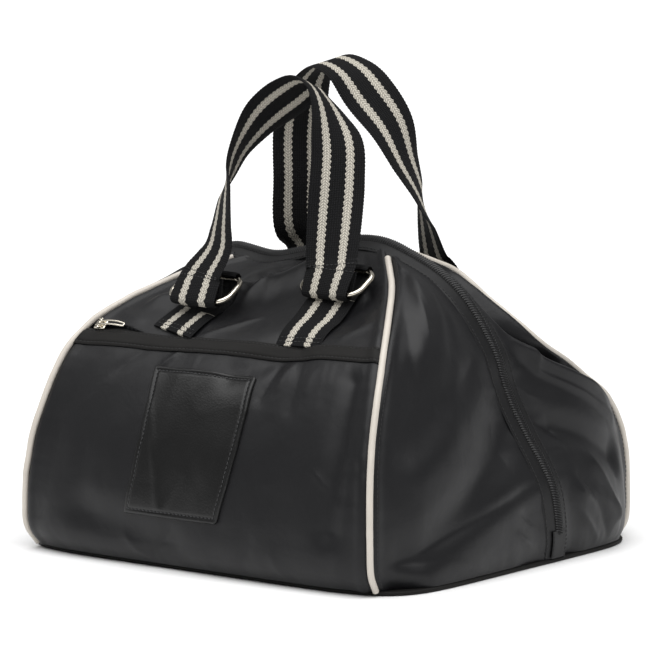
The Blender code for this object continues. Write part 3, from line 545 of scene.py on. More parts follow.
def zip_side(side, share):
    """Unit vectors from the zip's middle line towards one side, in the cloth, at shares of its length."""
    share = np.atleast_1d(np.asarray(share, float))
    left = np.clip(share / APEX[LEFT], 0, 1)
    right = np.clip((1 - share) / (1 - APEX[RIGHT]), 0, 1)
    directions = np.tile(ridge_direction(side), (len(share), 1))
    for end, rise in ((LEFT, left), (RIGHT, right)):
        on_gore = rise < 1
        directions[on_gore] = gore_ends(side, end, rise[on_gore])[2]
    return directions


def seam_tuck(side, end, up, direction):
    """How far cloth stops short of a seam's line along direction, so that its edge ends inside the piping."""
    step = 1e-3
    above = along(SEAM[side, end], up + step)
    below = along(SEAM[side, end], np.clip(up, 0, 1 - step) - step)
    tangent = unit(above - below)
    square = np.linalg.norm(np.cross(direction, tangent), axis=-1, keepdims=True)
    return SEAM_TUCK / np.clip(square, 0.25, 1)


def table_value(table, share):
    """A two-column table read as a smooth curve."""
    rows = np.array(table)
    line = smooth_line(np.column_stack((rows, np.zeros(len(rows)))))[0]
    return np.interp(share, line[:, 0], line[:, 1])


def dome_rule(side, share, up):
    """The straight line between a dome panel's two seams, short of their cords, at shares across it."""
    left = along(SEAM[side, LEFT], up) + LENGTHWISE * seam_tuck(side, LEFT, up, LENGTHWISE)
    right = along(SEAM[side, RIGHT], up) - LENGTHWISE * seam_tuck(side, RIGHT, up, LENGTHWISE)
    return left * (1 - share) + right * share


def dome_frame(side, across, up):
    """A dome panel without its crown: straight between its seams, led to the base and to the ridge."""
    share = (1 - side * across)[..., None] / 2
    ruled = dome_rule(side, share, up)
    foot_line = dome_rule(side, share, np.zeros_like(up))
    foot = foot_line.copy()
    foot[..., 1] = side * outline_depth(foot[..., 0])
    top_line = dome_rule(side, share, np.ones_like(up))
    trim = 1.3 * SEAM_TUCK / ZIP_LENGTH
    zip_share = APEX[LEFT] + trim + (APEX[RIGHT] - APEX[LEFT] - 2 * trim) * share[..., 0]
    top = along(ZIP, zip_share) + ridge_direction(side) * (PLACKET_REACH - PLACKET_LAP[side])

    rise = np.clip(up, 0, 1)[..., None]
    return ruled + (foot - foot_line) * (1 - rise) ** 4 + (top - top_line) * rise ** 6


# Surfaces of the cloth


def soft_noise(x, y, seed):
    """Smooth unevenness from -1 to 1: random heights on a unit lattice, eased between its points."""
    size = 64
    lattice = np.random.default_rng(seed).uniform(-1, 1, (size, size))
    column, row = np.floor(x).astype(int), np.floor(y).astype(int)
    u, v = smooth_step(x - column), smooth_step(y - row)
    here, beyond = column % size, (column + 1) % size
    low = lattice[here, row % size] * (1 - u) + lattice[beyond, row % size] * u
    high = lattice[here, (row + 1) % size] * (1 - u) + lattice[beyond, (row + 1) % size] * u
    return low * (1 - v) + high * v


def fold_relief(folds, x, y, width):
    """Sum of folds: each is height times e to the minus (distance from its line over width) to its power."""
    relief = np.zeros_like(x)
    for x0, y0, x1, y1, spread, height, power in folds:
        start = np.array((x0 * width, y0 * SEAM_LENGTH))
        run = np.array((x1 * width, y1 * SEAM_LENGTH)) - start
        away = np.stack((x, y), axis=-1) - start
        share = np.clip((away @ run) / (run @ run), 0, 1)
        away = np.linalg.norm(away - share[..., None] * run, axis=-1) * 1000
        fade = np.clip(0.45 + 2.2 * np.minimum(share, 1 - share), 0, 1)
        relief += height / 1000 * fade ** (2 - power) * np.exp(-(away / spread) ** power)
    return relief


def seam_roll(beside):
    """The cloth's roll beside its piping: a round swell 5 mm in, less 1.3 times a dip at the cord."""
    height, middle, width, dip = 0.0011, 0.005, 0.004, 0.002
    return height * (bell(beside - middle, width) - 1.3 * bell(beside, dip))


def puckers(run, away, pitch, height, reach, seed):
    """Gathers beside a seam: unevenness along it that dies out with the distance away from it."""
    wave = soft_noise(run / pitch, away / (4 * pitch) + 0.5, seed)
    lesser = soft_noise(run / pitch * 2.3, away / (3 * pitch) + 0.5, seed + 1)
    return height * (wave + 0.45 * lesser) * np.exp(-away / reach)


def hem_puckers(x, y, height, seed):
    """Gathers along the seam to the base board."""
    return puckers(x, y, pitch=0.013, height=height, reach=0.012, seed=seed) * ramp(y, SEAM_REST)


def slack(x, y, seed, height):
    """Soft dents of slack cloth: three sizes of unevenness, drawn out up and down, the middle one creased."""
    broad_size, crease_size, small_size, lean = (0.052, 0.074), (0.030, 0.046), (0.012, 0.018), 0.120
    broad = soft_noise(x / broad_size[0], y / broad_size[1], seed)
    creased = 0.5 - np.abs(soft_noise(x / crease_size[0] + y / lean, y / crease_size[1], seed + 1))
    small = soft_noise(x / small_size[0], y / small_size[1], seed + 2)
    return height * (broad + 0.30 * creased + 0.12 * small)


def dome_crown(side, across, up):
    """How far a dome panel bulges: its table's height times 1 - across squared."""
    return table_value(DOME_CROWN[side], up) * BAG_DEPTH * np.clip(1 - across ** 2, 0, 1)


def dome_face(side, across, up, folds, seed, lift=0.0):
    """The front or back dome panel: straight between its seams, then crowned, folded and gathered.

    across runs from -1 to 1 (left to right seen from that side), up from 0 at the base to 1 at the ridge.
    """
    settings = bpy.context.scene.bag_cloth
    gathers = settings.pucker_height
    x, y = across * HALF_SPAN, up * SEAM_LENGTH
    width = np.linalg.norm(along(SEAM[side, RIGHT], up) - along(SEAM[side, LEFT], up), axis=-1)
    beside = (1 - np.abs(across)) * width / 2
    above = (1 - up) * SEAM_LENGTH
    fade = ramp(beside, FOLD_FADE_WIDE) * ramp(y, FOLD_FADE) * ramp(above, FOLD_FADE)
    relief = fade * (fold_relief(folds, x, y, HALF_SPAN) + slack(x, y, seed, settings.slack_height))
    near = ramp(beside, PIPING_REST) * ramp(above, SEAM_REST)
    # Half a metre apart in the noise, so that the two sides gather differently
    run = y + 0.5 * np.sign(across)
    gathered = puckers(run, beside, pitch=0.011, height=gathers, reach=0.012, seed=seed + 3)
    gathered = gathered + hem_puckers(x, y, gathers, seed + 5)
    height = dome_crown(side, across, up) + relief + near * gathered + seam_roll(beside) + lift
    return raised(partial(dome_frame, side), across, up, height)


def front_face(across, up, folds=FRONT_FOLDS, lift=0.0):
    """The front dome panel, its rows tilted to follow the pocket's slightly slanting mouth."""
    mouth = POCKET_HEIGHT / SEAM_LENGTH
    share = np.clip(np.minimum(up / mouth, (1 - up) / (1 - mouth)), 0, 1)
    tilt = POCKET_TILT / SEAM_LENGTH / 2 * across * share
    return dome_face(FRONT, across, up + tilt, folds, 11, lift)


def raised(surface, across, up, height):
    """Points of a surface moved along its outward normal, the cross product of its two slopes."""
    step = 1e-4
    du = surface(across + step, up) - surface(across - step, up)
    dv = surface(across, up + step) - surface(across, up - step)
    return surface(across, up) + np.asarray(height)[..., None] * unit(np.cross(du, dv))


def gore_frame(side, end, across, up):
    """A gore without its crown: straight from piping to placket, bowed out at its foot to the base's edge."""
    seam, middle, away = gore_ends(side, end, up)
    rim = seam - away * seam_tuck(side, end, up, away)
    inner = middle + away * (PLACKET_REACH - PLACKET_LAP[side])
    flat = rim + (inner - rim) * across[..., None]
    foot_seam, foot_zip, foot_away = gore_ends(side, end, np.zeros_like(up))
    foot = foot_seam + (foot_zip + foot_away * PLACKET_REACH - foot_seam) * across[..., None]
    reach = np.abs(foot[..., 1]) / HALF_DEPTH
    full = BASE_LENGTH / 2 * rounded(reach)
    bow = (end * full - foot[..., 0]) * smooth_step(np.minimum(across, 1 - across) * 4)
    flat[..., 0] += bow * (1 - np.clip(up, 0, 1)) ** 4
    return flat


def gore_face(side, end, across, up, lift=0.0):
    """A gore: across runs from 0 at the piping to 1 under the placket, up from 0 at the base."""
    settings = bpy.context.scene.bag_cloth
    gathers = settings.pucker_height
    crown = table_value(GORE_CROWN[side], up) * BAG_DEPTH * (LEFT_GORE_CROWN if end == LEFT else 1)
    folds = FRONT_GORE_FOLDS if side == FRONT else BACK_GORE_FOLDS
    seed = 40 + 10 * side + 5 * end
    x, y = across * HALF_DEPTH, up * SEAM_LENGTH
    seam, middle, _ = gore_ends(side, end, up)
    width = np.linalg.norm(seam - middle, axis=-1) - PLACKET_REACH
    beside, inside = across * width, (1 - across) * width
    fade = ramp(beside, FOLD_FADE) * ramp(inside, FOLD_FADE_WIDE) * ramp(y, FOLD_FADE)
    # The folds also die out over the last sixth, where the gore runs out between piping and zip
    relief = fade * np.clip((1 - up) * 6, 0, 1) * fold_relief(folds, x, y, HALF_DEPTH)
    relief = relief + fade * slack(x, y, seed, settings.slack_height * GORE_SLACK)
    near = ramp(beside, PIPING_REST) * ramp(inside, SEAM_REST)
    gathered = puckers(y, beside, pitch=0.012, height=gathers, reach=0.011, seed=seed + 3)
    gathered = gathered + puckers(y, inside, pitch=0.014, height=gathers * 1.5, reach=0.016, seed=seed + 5)
    gathered = gathered + hem_puckers(x, y, gathers, seed + 7)
    arch = np.sin(math.pi * np.clip(across, 0, 1)) ** 2
    height = crown * arch + relief + near * gathered + seam_roll(beside) + lift
    outward = 1 if side * end < 0 else -1
    return raised(partial(gore_frame, side, end), across, up, outward * height)


def panel_at(side, x, up, lift=0.0):
    """Points of a dome panel without its gathers, a height lift in front of it, at given X and rises."""
    x, up = np.broadcast_arrays(np.asarray(x, float), np.asarray(up, float))
    across = np.zeros_like(x)
    step = 0.01

    def plain(a, b, height=0.0):
        relief = fold_relief(BROAD_FOLDS[side], a * HALF_SPAN, b * SEAM_LENGTH, HALF_SPAN)
        return raised(partial(dome_frame, side), a, b, dome_crown(side, a, b) + relief + height)

    for _ in range(6):
        here = plain(across, up)[..., 0]
        beside = plain(across + step, up)[..., 0]
        across = across + (x - here) / (beside - here) * step
    return plain(across, up, lift)


# Meshes


def grid_normals(points):
    """Outward unit normals of a grid of points: the cross product of its steps along rows and columns."""
    across = np.gradient(points, axis=1)
    up = np.gradient(points, axis=0)
    return unit(np.cross(across, up) + 1e-12)


def new_piece(name, points, faces, finish, uv=None):
    """A smooth mesh object, with sharp edges over 50 degrees and a UV map in metres where uv is given."""
    mesh = bpy.data.meshes.new(name)
    mesh.from_pydata(points.reshape(-1, 3).tolist(), [], faces)
    if uv is not None:
        corners = np.zeros(len(mesh.loops), int)
        mesh.loops.foreach_get("vertex_index", corners)
        mesh.uv_layers.new(name="cloth").data.foreach_set("uv", uv.reshape(-1, 2)[corners].ravel())
    mesh.shade_smooth()
    mesh.set_sharp_from_angle(angle=math.radians(50))
    mesh.materials.append(finish)
    piece = bpy.data.objects.new(name, mesh)
    bpy.context.scene.collection.objects.link(piece)
    return piece


def grid_quads(index):
    """The four corners of each cell of a grid of vertex numbers."""
    corners = (index[:-1, :-1], index[:-1, 1:], index[1:, 1:], index[1:, :-1])
    return np.stack(corners, axis=-1).reshape(-1, 4)


def slab(name, top, bottom, finish, uv=None):
    """A closed sheet: a top grid, a bottom grid under it, and walls round their edges."""
    rows, columns = top.shape[:2]
    count = rows * columns
    index = np.arange(count).reshape(rows, columns)
    quads = grid_quads(index)
    rim = np.concatenate((index[0, :-1], index[:-1, -1], index[-1, :0:-1], index[:0:-1, 0]))
    onward = np.roll(rim, -1)
    walls = np.stack((onward, rim, rim + count, onward + count), axis=-1)
    faces = np.concatenate((quads, quads[:, ::-1] + count, walls)).tolist()
    both = None if uv is None else np.concatenate((uv.reshape(-1, 2), uv.reshape(-1, 2)))
    return new_piece(name, np.concatenate((top.reshape(-1, 3), bottom.reshape(-1, 3))), faces, finish, both)


def cloth_wall(name, face, across, up, thickness, finish, width=HALF_SPAN):
    """A cloth panel: a face worked out on a grid of shares, given its thickness inwards."""
    a, b = np.meshgrid(across, up)
    top = face(a, b)
    uv = np.stack((a * width, b * SEAM_LENGTH), axis=-1)
    return slab(name, top, top - grid_normals(top) * thickness, finish, uv)


def padded_strip(name, centre, aside, outward, width, thickness, finish, columns=15, power=8, edge=None):
    """A strip along a line, rounded off at its edges.

    Across it, top and bottom part by thickness times 1 - 0.85 (2x over width) to a power. edge adds a small
    waviness to its half width, one value for each station.
    """
    share = np.linspace(-1, 1, columns)
    share = np.sin(share * math.pi / 2)
    half = np.full(len(centre), width / 2) if edge is None else width / 2 + edge
    place = centre[:, None] + aside[:, None] * (share[None, :, None] * half[:, None, None])
    swell = thickness / 2 * (1 - np.abs(share) ** power * 0.85)
    rise = outward[:, None] * swell[None, :, None]
    uv = np.stack(np.broadcast_arrays(share[None, :] * width / 2, distances(centre)[:, None]), axis=-1)
    return slab(name, place + rise, place - rise, finish, uv)


def ring_faces(rows, sides, closed=False):
    """Faces of a stack of closed rings: quads between them, and a cap on each end unless it is closed."""
    index = np.arange(rows * sides).reshape(rows, sides)
    index = np.hstack((index, index[:, :1]))
    if closed:
        index = np.vstack((index, index[:1]))
    caps = [] if closed else [index[0, -2::-1].tolist(), index[-1, :-1].tolist()]
    return grid_quads(index).tolist() + caps


def tube(name, line, aside, radius, finish, sides=16, closed=False):
    """A round profile carried along a line: radius times (cosine, sine) in the plane across each station."""
    if closed:
        tangent = unit(np.roll(line, -1, axis=0) - np.roll(line, 1, axis=0))
    else:
        tangent = unit(np.gradient(line, axis=0))
    first = square_to(aside, tangent)
    second = np.cross(tangent, first)
    angle = np.linspace(0, 2 * math.pi, sides, endpoint=False)
    reach = np.broadcast_to(radius, (len(line),))[:, None, None]
    ring = first[:, None] * np.cos(angle)[None, :, None] + second[:, None] * np.sin(angle)[None, :, None]
    uv = np.stack(np.broadcast_arrays(angle[None, :] * np.max(radius), distances(line)[:, None]), axis=-1)
    return new_piece(name, line[:, None] + ring * reach, ring_faces(len(line), sides, closed), finish, uv)


def stitches(name, line, outward, finish, pitch=0.0032, length=0.0023, width=0.0007):
    """A row of stitches along a line: each is a small spindle, its radius the sine of the way along it."""
    rings, sides = 5, 6
    distance = distances(line)
    places = np.arange(pitch / 2, distance[-1], pitch)
    centre = read_at(places, distance, line)
    ahead = unit(read_at(places, distance, np.gradient(line, axis=0)))
    up = square_to(read_at(places, distance, outward), ahead)
    side = np.cross(up, ahead)
    turn = np.linspace(0.12, math.pi - 0.12, rings)
    angle = np.linspace(0, 2 * math.pi, sides, endpoint=False)
    reach = (np.cos(turn)[:, None] * length / 2 * np.ones(sides)).ravel()
    sideways = (np.sin(turn)[:, None] ** 0.6 * np.cos(angle) * width / 2).ravel()
    upward = (np.sin(turn)[:, None] ** 0.6 * np.sin(angle) * width / 2).ravel()
    points = centre[:, None] + ahead[:, None] * reach[:, None] + side[:, None] * sideways[:, None]
    points = points + up[:, None] * upward[:, None]
    index = np.arange(rings * sides).reshape(rings, sides)
    index = np.hstack((index, index[:, :1]))
    starts = np.arange(len(places)) * rings * sides
    quads = np.stack((index[:-1, :-1], index[1:, :-1], index[1:, 1:], index[:-1, 1:]), axis=-1).reshape(-1, 4)
    faces = (quads[None] + starts[:, None, None]).reshape(-1, 4).tolist()
    faces += (index[0, :-1][None] + starts[:, None]).tolist()
    faces += (index[-1, -2::-1][None] + starts[:, None]).tolist()
    return new_piece(name, points, faces, finish)


def place(piece, nodes, slot, body=BAG):
    """Put a finished piece in the frame: it stands for CAD nodes and rides on a body. The slot argument is not
    used.
    """
    if nodes:
        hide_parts(*nodes)
    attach(piece, body)


# Materials


def node(tree, kind, inputs=None, **settings):
    """Add a node, apply its settings, and fill its inputs with values or with other nodes' outputs."""
    made = tree.nodes.new(kind)
    for key, value in settings.items():
        setattr(made, key, value)
    for key, value in (inputs or {}).items():
        if isinstance(value, bpy.types.NodeSocket):
            tree.links.new(value, made.inputs[key])
        else:
            made.inputs[key].default_value = value
    return made


def new_material(name, **inputs):
    """An empty Principled material with values set on its sockets, and its tree and shader."""
    material = bpy.data.materials.new(name)
    material.use_nodes = True
    tree = material.node_tree
    shader = tree.nodes["Principled BSDF"]
    for key, value in inputs.items():
        shader.inputs[key.replace("_", " ")].default_value = value
    return material, tree, shader


def tone(colour, factor):
    """A colour made lighter or darker by a factor, with full alpha."""
    return (*(factor * c for c in colour), 1)


def maths(tree, operation, first, second=0.0):
    """The result of a sum on one or two values or outputs."""
    return node(tree, "ShaderNodeMath", {0: first, 1: second}, operation=operation).outputs[0]


def sine_wave(tree, place, pitch):
    """A sine along a place in metres, one whole wave to each pitch."""
    return maths(tree, "SINE", maths(tree, "MULTIPLY", place, 2 * math.pi / pitch))


def ridges(tree, place, pitch):
    """Round ridges along a place in metres, one to each pitch: the sine of half waves, without its sign."""
    return maths(tree, "ABSOLUTE", maths(tree, "SINE", maths(tree, "MULTIPLY", place, math.pi / pitch)))


def cloth_places(tree):
    """Places across and along a piece, in metres, from its UV map."""
    split = node(tree, "ShaderNodeSeparateXYZ", {0: node(tree, "ShaderNodeUVMap", uv_map="cloth").outputs[0]})
    return split.outputs[0], split.outputs[1]


def unevenness(tree, scale, **inputs):
    """Noise through the piece itself, so many spots to the metre."""
    place_in = node(tree, "ShaderNodeTexCoord").outputs["Object"]
    return node(tree, "ShaderNodeTexNoise", {"Vector": place_in, "Scale": scale, **inputs}).outputs[0]


def between(tree, share, low, high):
    """A value from low to high, as share goes from 0 to 1."""
    return node(tree, "ShaderNodeMapRange", {0: share, 3: low, 4: high}).outputs[0]


def blend(tree, share, first, second):
    """The first colour turning into the second, as share goes from 0 to 1."""
    return node(tree, "ShaderNodeMix", {0: share, 6: first, 7: second}, data_type="RGBA").outputs[2]


def fine_relief(tree, height, distance, strength, under=None):
    """Fine relief of a height and a strength, on top of another where under is given."""
    inputs = {"Strength": strength, "Distance": distance, "Height": height}
    if under is not None:
        inputs["Normal"] = under
    return node(tree, "ShaderNodeBump", inputs).outputs[0]


def dress(tree, shader, **outputs):
    """Lead outputs into the shader's inputs of those names."""
    for key, value in outputs.items():
        tree.links.new(value, shader.inputs[key.replace("_", " ")])


def coated_nylon(name, colour, roughness=0.42):
    """Tightly woven nylon with a coated back: a soft satin gleam along its folds, and hardly any grain.

    Its threads, 0.25 mm apart, are too fine to show, so they are drawn 0.8 mm apart.
    """
    material, tree, shader = new_material(
        name, Base_Color=(*colour, 1), Roughness=roughness, IOR=1.37, Sheen_Weight=0.02, Sheen_Roughness=0.4)
    thread = 0.0008
    across, run = cloth_places(tree)
    weave = maths(tree, "MULTIPLY", sine_wave(tree, across, thread), sine_wave(tree, run, thread))
    crease = unevenness(tree, 70.0, Detail=3.0, Distortion=0.6)
    soil = unevenness(tree, 22.0, Detail=4.0)
    dress(tree, shader,
          Roughness=between(tree, soil, roughness - 0.06, roughness + 0.07),
          Base_Color=blend(tree, soil, tone(colour, 0.85), tone(colour, 1.2)),
          Normal=fine_relief(tree, crease, 0.0009, 0.35, under=fine_relief(tree, weave, 0.0002, 0.10)))
    return material


def ribbed_tape(name, colour):
    """Grosgrain binding: matt warp-black tape whose cross ribs, 0.9 mm apart, break the light up."""
    material, tree, shader = new_material(name, Base_Color=(*colour, 1), Roughness=0.62, IOR=1.27)
    rib = sine_wave(tree, cloth_places(tree)[0], 0.0009)
    dress(tree, shader, Normal=fine_relief(tree, rib, 0.0003, 0.25))
    return material


def piping_cover(name, colour):
    """Coated cloth drawn tight round a cord: off-white, smooth, with faint grime and a soft gloss line."""
    material, tree, shader = new_material(name, Base_Color=(*colour, 1), Roughness=0.38, IOR=1.48)
    soil = unevenness(tree, 45.0, Detail=5.0)
    grain = unevenness(tree, 600.0)
    dress(tree, shader,
          Base_Color=blend(tree, soil, tone(colour, 0.82), tone(colour, 1.12)),
          Normal=fine_relief(tree, grain, 0.0002, 0.2))
    return material


def striped_webbing(name, dark, pale):
    """Woven cotton webbing: matt black ground in fine ribs, and two pale braided stripes, scalloped."""
    material, tree, shader = new_material(name, Roughness=0.8, IOR=1.25)
    stripe_middle, stripe_edge, stripe_end = 0.0082, 0.0026, 0.0029
    scallop_pitch, scallop_depth = 0.0039, 0.0004
    strand_width, rib_pitch, pick_pitch = 0.0019, 0.0016, 0.0012
    across, run = cloth_places(tree)
    from_stripe = maths(tree, "SUBTRACT", maths(tree, "ABSOLUTE", across), stripe_middle)
    away = maths(tree, "ABSOLUTE", from_stripe)
    slanted = maths(tree, "ADD", run, maths(tree, "MULTIPLY", from_stripe, 0.4))
    scallop = maths(tree, "MULTIPLY", sine_wave(tree, slanted, scallop_pitch), scallop_depth)
    edge = maths(tree, "SUBTRACT", away, scallop)
    stripe = node(tree, "ShaderNodeMapRange",
                  {0: edge, 1: stripe_edge, 2: stripe_end, 3: 1.0, 4: 0.0}).outputs[0]
    leaning = maths(tree, "ADD", run, maths(tree, "MULTIPLY", away, 0.9))
    strands = maths(tree, "POWER", ridges(tree, from_stripe, strand_width), 0.5)
    braid = maths(tree, "MULTIPLY", ridges(tree, leaning, scallop_pitch / 2), strands)
    ground = maths(tree, "MULTIPLY", ridges(tree, across, rib_pitch), ridges(tree, run, pick_pitch))
    shaded = blend(tree, braid, tone(pale, 0.34), tone(pale, 1))
    # The black ground is painted lighter on the crests of its ribs and darker between them: painted highlight
    # and painted shade
    rib_light_and_shade = blend(tree, ground, tone(dark, 0.4), tone(dark, 2.4))
    height = node(tree, "ShaderNodeMix", {0: stripe, 2: ground, 3: braid}, data_type="FLOAT").outputs[0]
    dress(tree, shader,
          Base_Color=blend(tree, stripe, rib_light_and_shade, shaded),
          Normal=fine_relief(tree, height, 0.0005, 0.7))
    return material


def grained_leather(name, colour):
    """Corrected-grain leather: black, with pebbles 1.2 mm across and a broken, waxy gloss."""
    material, tree, shader = new_material(name, Base_Color=(*colour, 1), Roughness=0.34, IOR=1.42)
    place_in = node(tree, "ShaderNodeTexCoord").outputs["Object"]
    pebbles = {"Vector": place_in, "Scale": 850.0}
    pebble = node(tree, "ShaderNodeTexVoronoi", pebbles, feature="SMOOTH_F1").outputs[0]
    wax = unevenness(tree, 60.0, Detail=4.0)
    dress(tree, shader,
          Roughness=between(tree, wax, 0.26, 0.42),
          Normal=fine_relief(tree, wax, 0.0008, 0.25, under=fine_relief(tree, pebble, 0.0004, 0.22)))
    return material


def drawn_nylon(name, colour, roughness):
    """Drawn nylon thread: black, with small bright gleams."""
    material, tree, shader = new_material(name, Base_Color=(*colour, 1), Roughness=roughness, IOR=1.53)
    dust = unevenness(tree, 300.0, Detail=2.0)
    dress(tree, shader, Roughness=between(tree, dust, roughness - 0.07, roughness + 0.12))
    return material


def moulded_teeth(name, colour, pitch):
    """Zip coil: glossy black turns of nylon that lean opposite ways on its two sides, with painted shade
    between them.
    """
    material, tree, shader = new_material(name, Base_Color=(*colour, 1), Roughness=0.3, IOR=1.53)
    across, run = cloth_places(tree)
    away = maths(tree, "ABSOLUTE", across)
    turns = sine_wave(tree, maths(tree, "ADD", run, maths(tree, "MULTIPLY", away, TOOTH_SLANT)), pitch)
    # Between the turns, and past the teeth at the coil's edges, the colour drops to a tenth: painted shade
    hollow_shade = node(tree, "ShaderNodeMapRange", {0: turns, 1: -0.7, 2: 0.2, 3: 1.0, 4: 0.0}).outputs[0]
    gap_shade = maths(tree, "MAXIMUM", hollow_shade, maths(tree, "GREATER_THAN", away, TEETH_REACH))
    dress(tree, shader,
          Base_Color=blend(tree, gap_shade, tone(colour, 1), tone(colour, 0.1)),
          Roughness=between(tree, gap_shade, 0.36, 0.95),
          Normal=fine_relief(tree, turns, 0.0008, 0.8))
    return material


def nickel_plate(name, colour):
    """Polished nickel on steel wire: bright and warm, with the odd fine rub that dulls it."""
    material, tree, shader = new_material(name, Base_Color=(*colour, 1), Roughness=0.16, Metallic=1.0)
    rub = unevenness(tree, 260.0, Detail=6.0)
    dress(tree, shader, Roughness=between(tree, rub, 0.10, 0.26))
    return material


def studio_paper(name, colour):
    """Seamless background paper: matt white, with a faint tooth."""
    material, tree, shader = new_material(name, Base_Color=(*colour, 1), Roughness=0.9)
    dress(tree, shader, Normal=fine_relief(tree, unevenness(tree, 400.0), 0.0002, 0.05))
    return material


def finish(name):
    """The bag's material of that name, made on first use."""
    if name in bpy.data.materials:
        return bpy.data.materials[name]
    cloth = bpy.context.scene.bag_cloth
    trim = bpy.context.scene.bag_trim
    makers = {
        "satin_black_nylon": lambda: coated_nylon(name, cloth.nylon_colour),
        "grosgrain_binding": lambda: ribbed_tape(name, trim.binding_colour),
        "off_white_piping_cover": lambda: piping_cover(name, trim.piping_colour),
        "striped_cotton_webbing": lambda: striped_webbing(name, trim.webbing_dark, trim.webbing_pale),
        "pebbled_black_leather": lambda: grained_leather(name, trim.leather_colour),
        "nylon_zip_coil": lambda: moulded_teeth(name, trim.coil_colour, trim.tooth_pitch),
        # The plackets and the zip's cloth stops are the shell's nylon at 0.6 of its colour: painted shade
        # along the zip
        "folded_nylon_placket": lambda: coated_nylon(name, tone(cloth.nylon_colour, 0.6)[:3], 0.5),
        "waxed_patch_thread": lambda: drawn_nylon(name, tone(trim.thread_colour, 3)[:3], 0.45),
        "bonded_nylon_thread": lambda: drawn_nylon(name, trim.thread_colour, 0.6),
        "polished_nickel": lambda: nickel_plate(name, trim.nickel_colour),
        "white_studio_paper": lambda: studio_paper(name, PAPER_COLOUR),
    }
    return makers[name]()


# Sizes and colours that can be changed


class BagCloth(bpy.types.PropertyGroup):
    """Sizes and colour of the nylon shell."""

    cloth_thickness: FloatProperty(
        name="Cloth thickness", description="Thickness of the nylon panels", default=0.0012, unit="LENGTH")
    slack_height: FloatProperty(
        name="Slack", description="Height of the soft dents in the slack cloth",
        default=0.0014, unit="LENGTH")
    pucker_height: FloatProperty(
        name="Gathers", description="Height of the gathers beside the seams", default=0.0005, unit="LENGTH")
    nylon_colour: FloatVectorProperty(
        name="Nylon colour", description="Colour of the shell", subtype="COLOR", size=3,
        default=linear("101012"))


class BagTrim(bpy.types.PropertyGroup):
    """Sizes and colours of piping, zips, webbing, patch and metal."""

    piping_diameter: FloatProperty(
        name="Piping", description="Diameter of the piping", default=0.0046, unit="LENGTH")
    tooth_pitch: FloatProperty(
        name="Zip teeth", description="Distance from tooth to tooth on the main zip",
        default=0.0018, unit="LENGTH")
    webbing_width: FloatProperty(
        name="Webbing width", description="Width of handles and tabs", default=0.038, unit="LENGTH")
    webbing_thickness: FloatProperty(
        name="Webbing thickness", description="Thickness of handles and tabs", default=0.002, unit="LENGTH")
    patch_thickness: FloatProperty(
        name="Patch thickness", description="Thickness of the leather patch", default=0.0016, unit="LENGTH")
    piping_colour: FloatVectorProperty(
        name="Piping colour", description="Colour of the piping", subtype="COLOR", size=3,
        default=linear("c9c2b8"))
    binding_colour: FloatVectorProperty(
        name="Binding colour", description="Colour of the pocket's binding", subtype="COLOR", size=3,
        default=linear("171615"))
    webbing_dark: FloatVectorProperty(
        name="Webbing ground", description="Colour of the webbing's ground", subtype="COLOR", size=3,
        default=linear("0e0e0f"))
    webbing_pale: FloatVectorProperty(
        name="Webbing stripes", description="Colour of the webbing's stripes", subtype="COLOR", size=3,
        default=linear("d2ccbf"))
    leather_colour: FloatVectorProperty(
        name="Leather colour", description="Colour of the patch", subtype="COLOR", size=3,
        default=linear("0b0b0b"))
    coil_colour: FloatVectorProperty(
        name="Coil colour", description="Colour of the zip coil", subtype="COLOR", size=3,
        default=linear("141416"))
    thread_colour: FloatVectorProperty(
        name="Thread colour", description="Colour of the stitching", subtype="COLOR", size=3,
        default=linear("161617"))
    nickel_colour: FloatVectorProperty(
        name="Nickel colour", description="Colour of rings and sliders", subtype="COLOR", size=3,
        default=linear("d9d2c4"))


class BagStage(bpy.types.PropertyGroup):
    """Camera and light."""

    camera_distance: FloatProperty(
        name="Camera distance", description="From the camera to the bag", default=3.4856, unit="LENGTH")
    camera_lens: FloatProperty(
        name="Lens", description="Focal length on a 36 mm frame", default=276.92, unit="CAMERA")
    sky_strength: FloatProperty(
        name="Sky", description="Brightness of the even light from all round", default=0.3)
    overhead_power: FloatProperty(
        name="Overhead", description="Power of the soft light overhead", default=3.6)
    key_power: FloatProperty(
        name="Key light", description="Power of the light at the front left", default=3.5, unit="POWER")
    rim_power: FloatProperty(
        name="Rim light", description="Power of the light at the right", default=2.5, unit="POWER")


# Stage

CAMERA_AZIMUTH = math.radians(38)
CAMERA_ELEVATION = math.radians(8)
CAMERA_AIM = (-0.00459, 0, 0.15255)
LIGHT_AIM = (0, 0, 0.12)
PAPER_COLOUR = linear("f4f4f4")
FLOOR_REACH = 9
FLOOR_DROP = 0.0002
OVERHEAD_SPREAD = math.radians(80)
OVERHEAD_TILT = (math.radians(12), math.radians(9), 0)

# Lamps. Columns: name, place, size, and the setting that holds the power.
LAMPS = (
    ("key", (-1.4, -1.0, 1.7), 0.7, "key_power"),
    ("rim", (1.7, 0.3, 2.1), 0.9, "rim_power"),
)


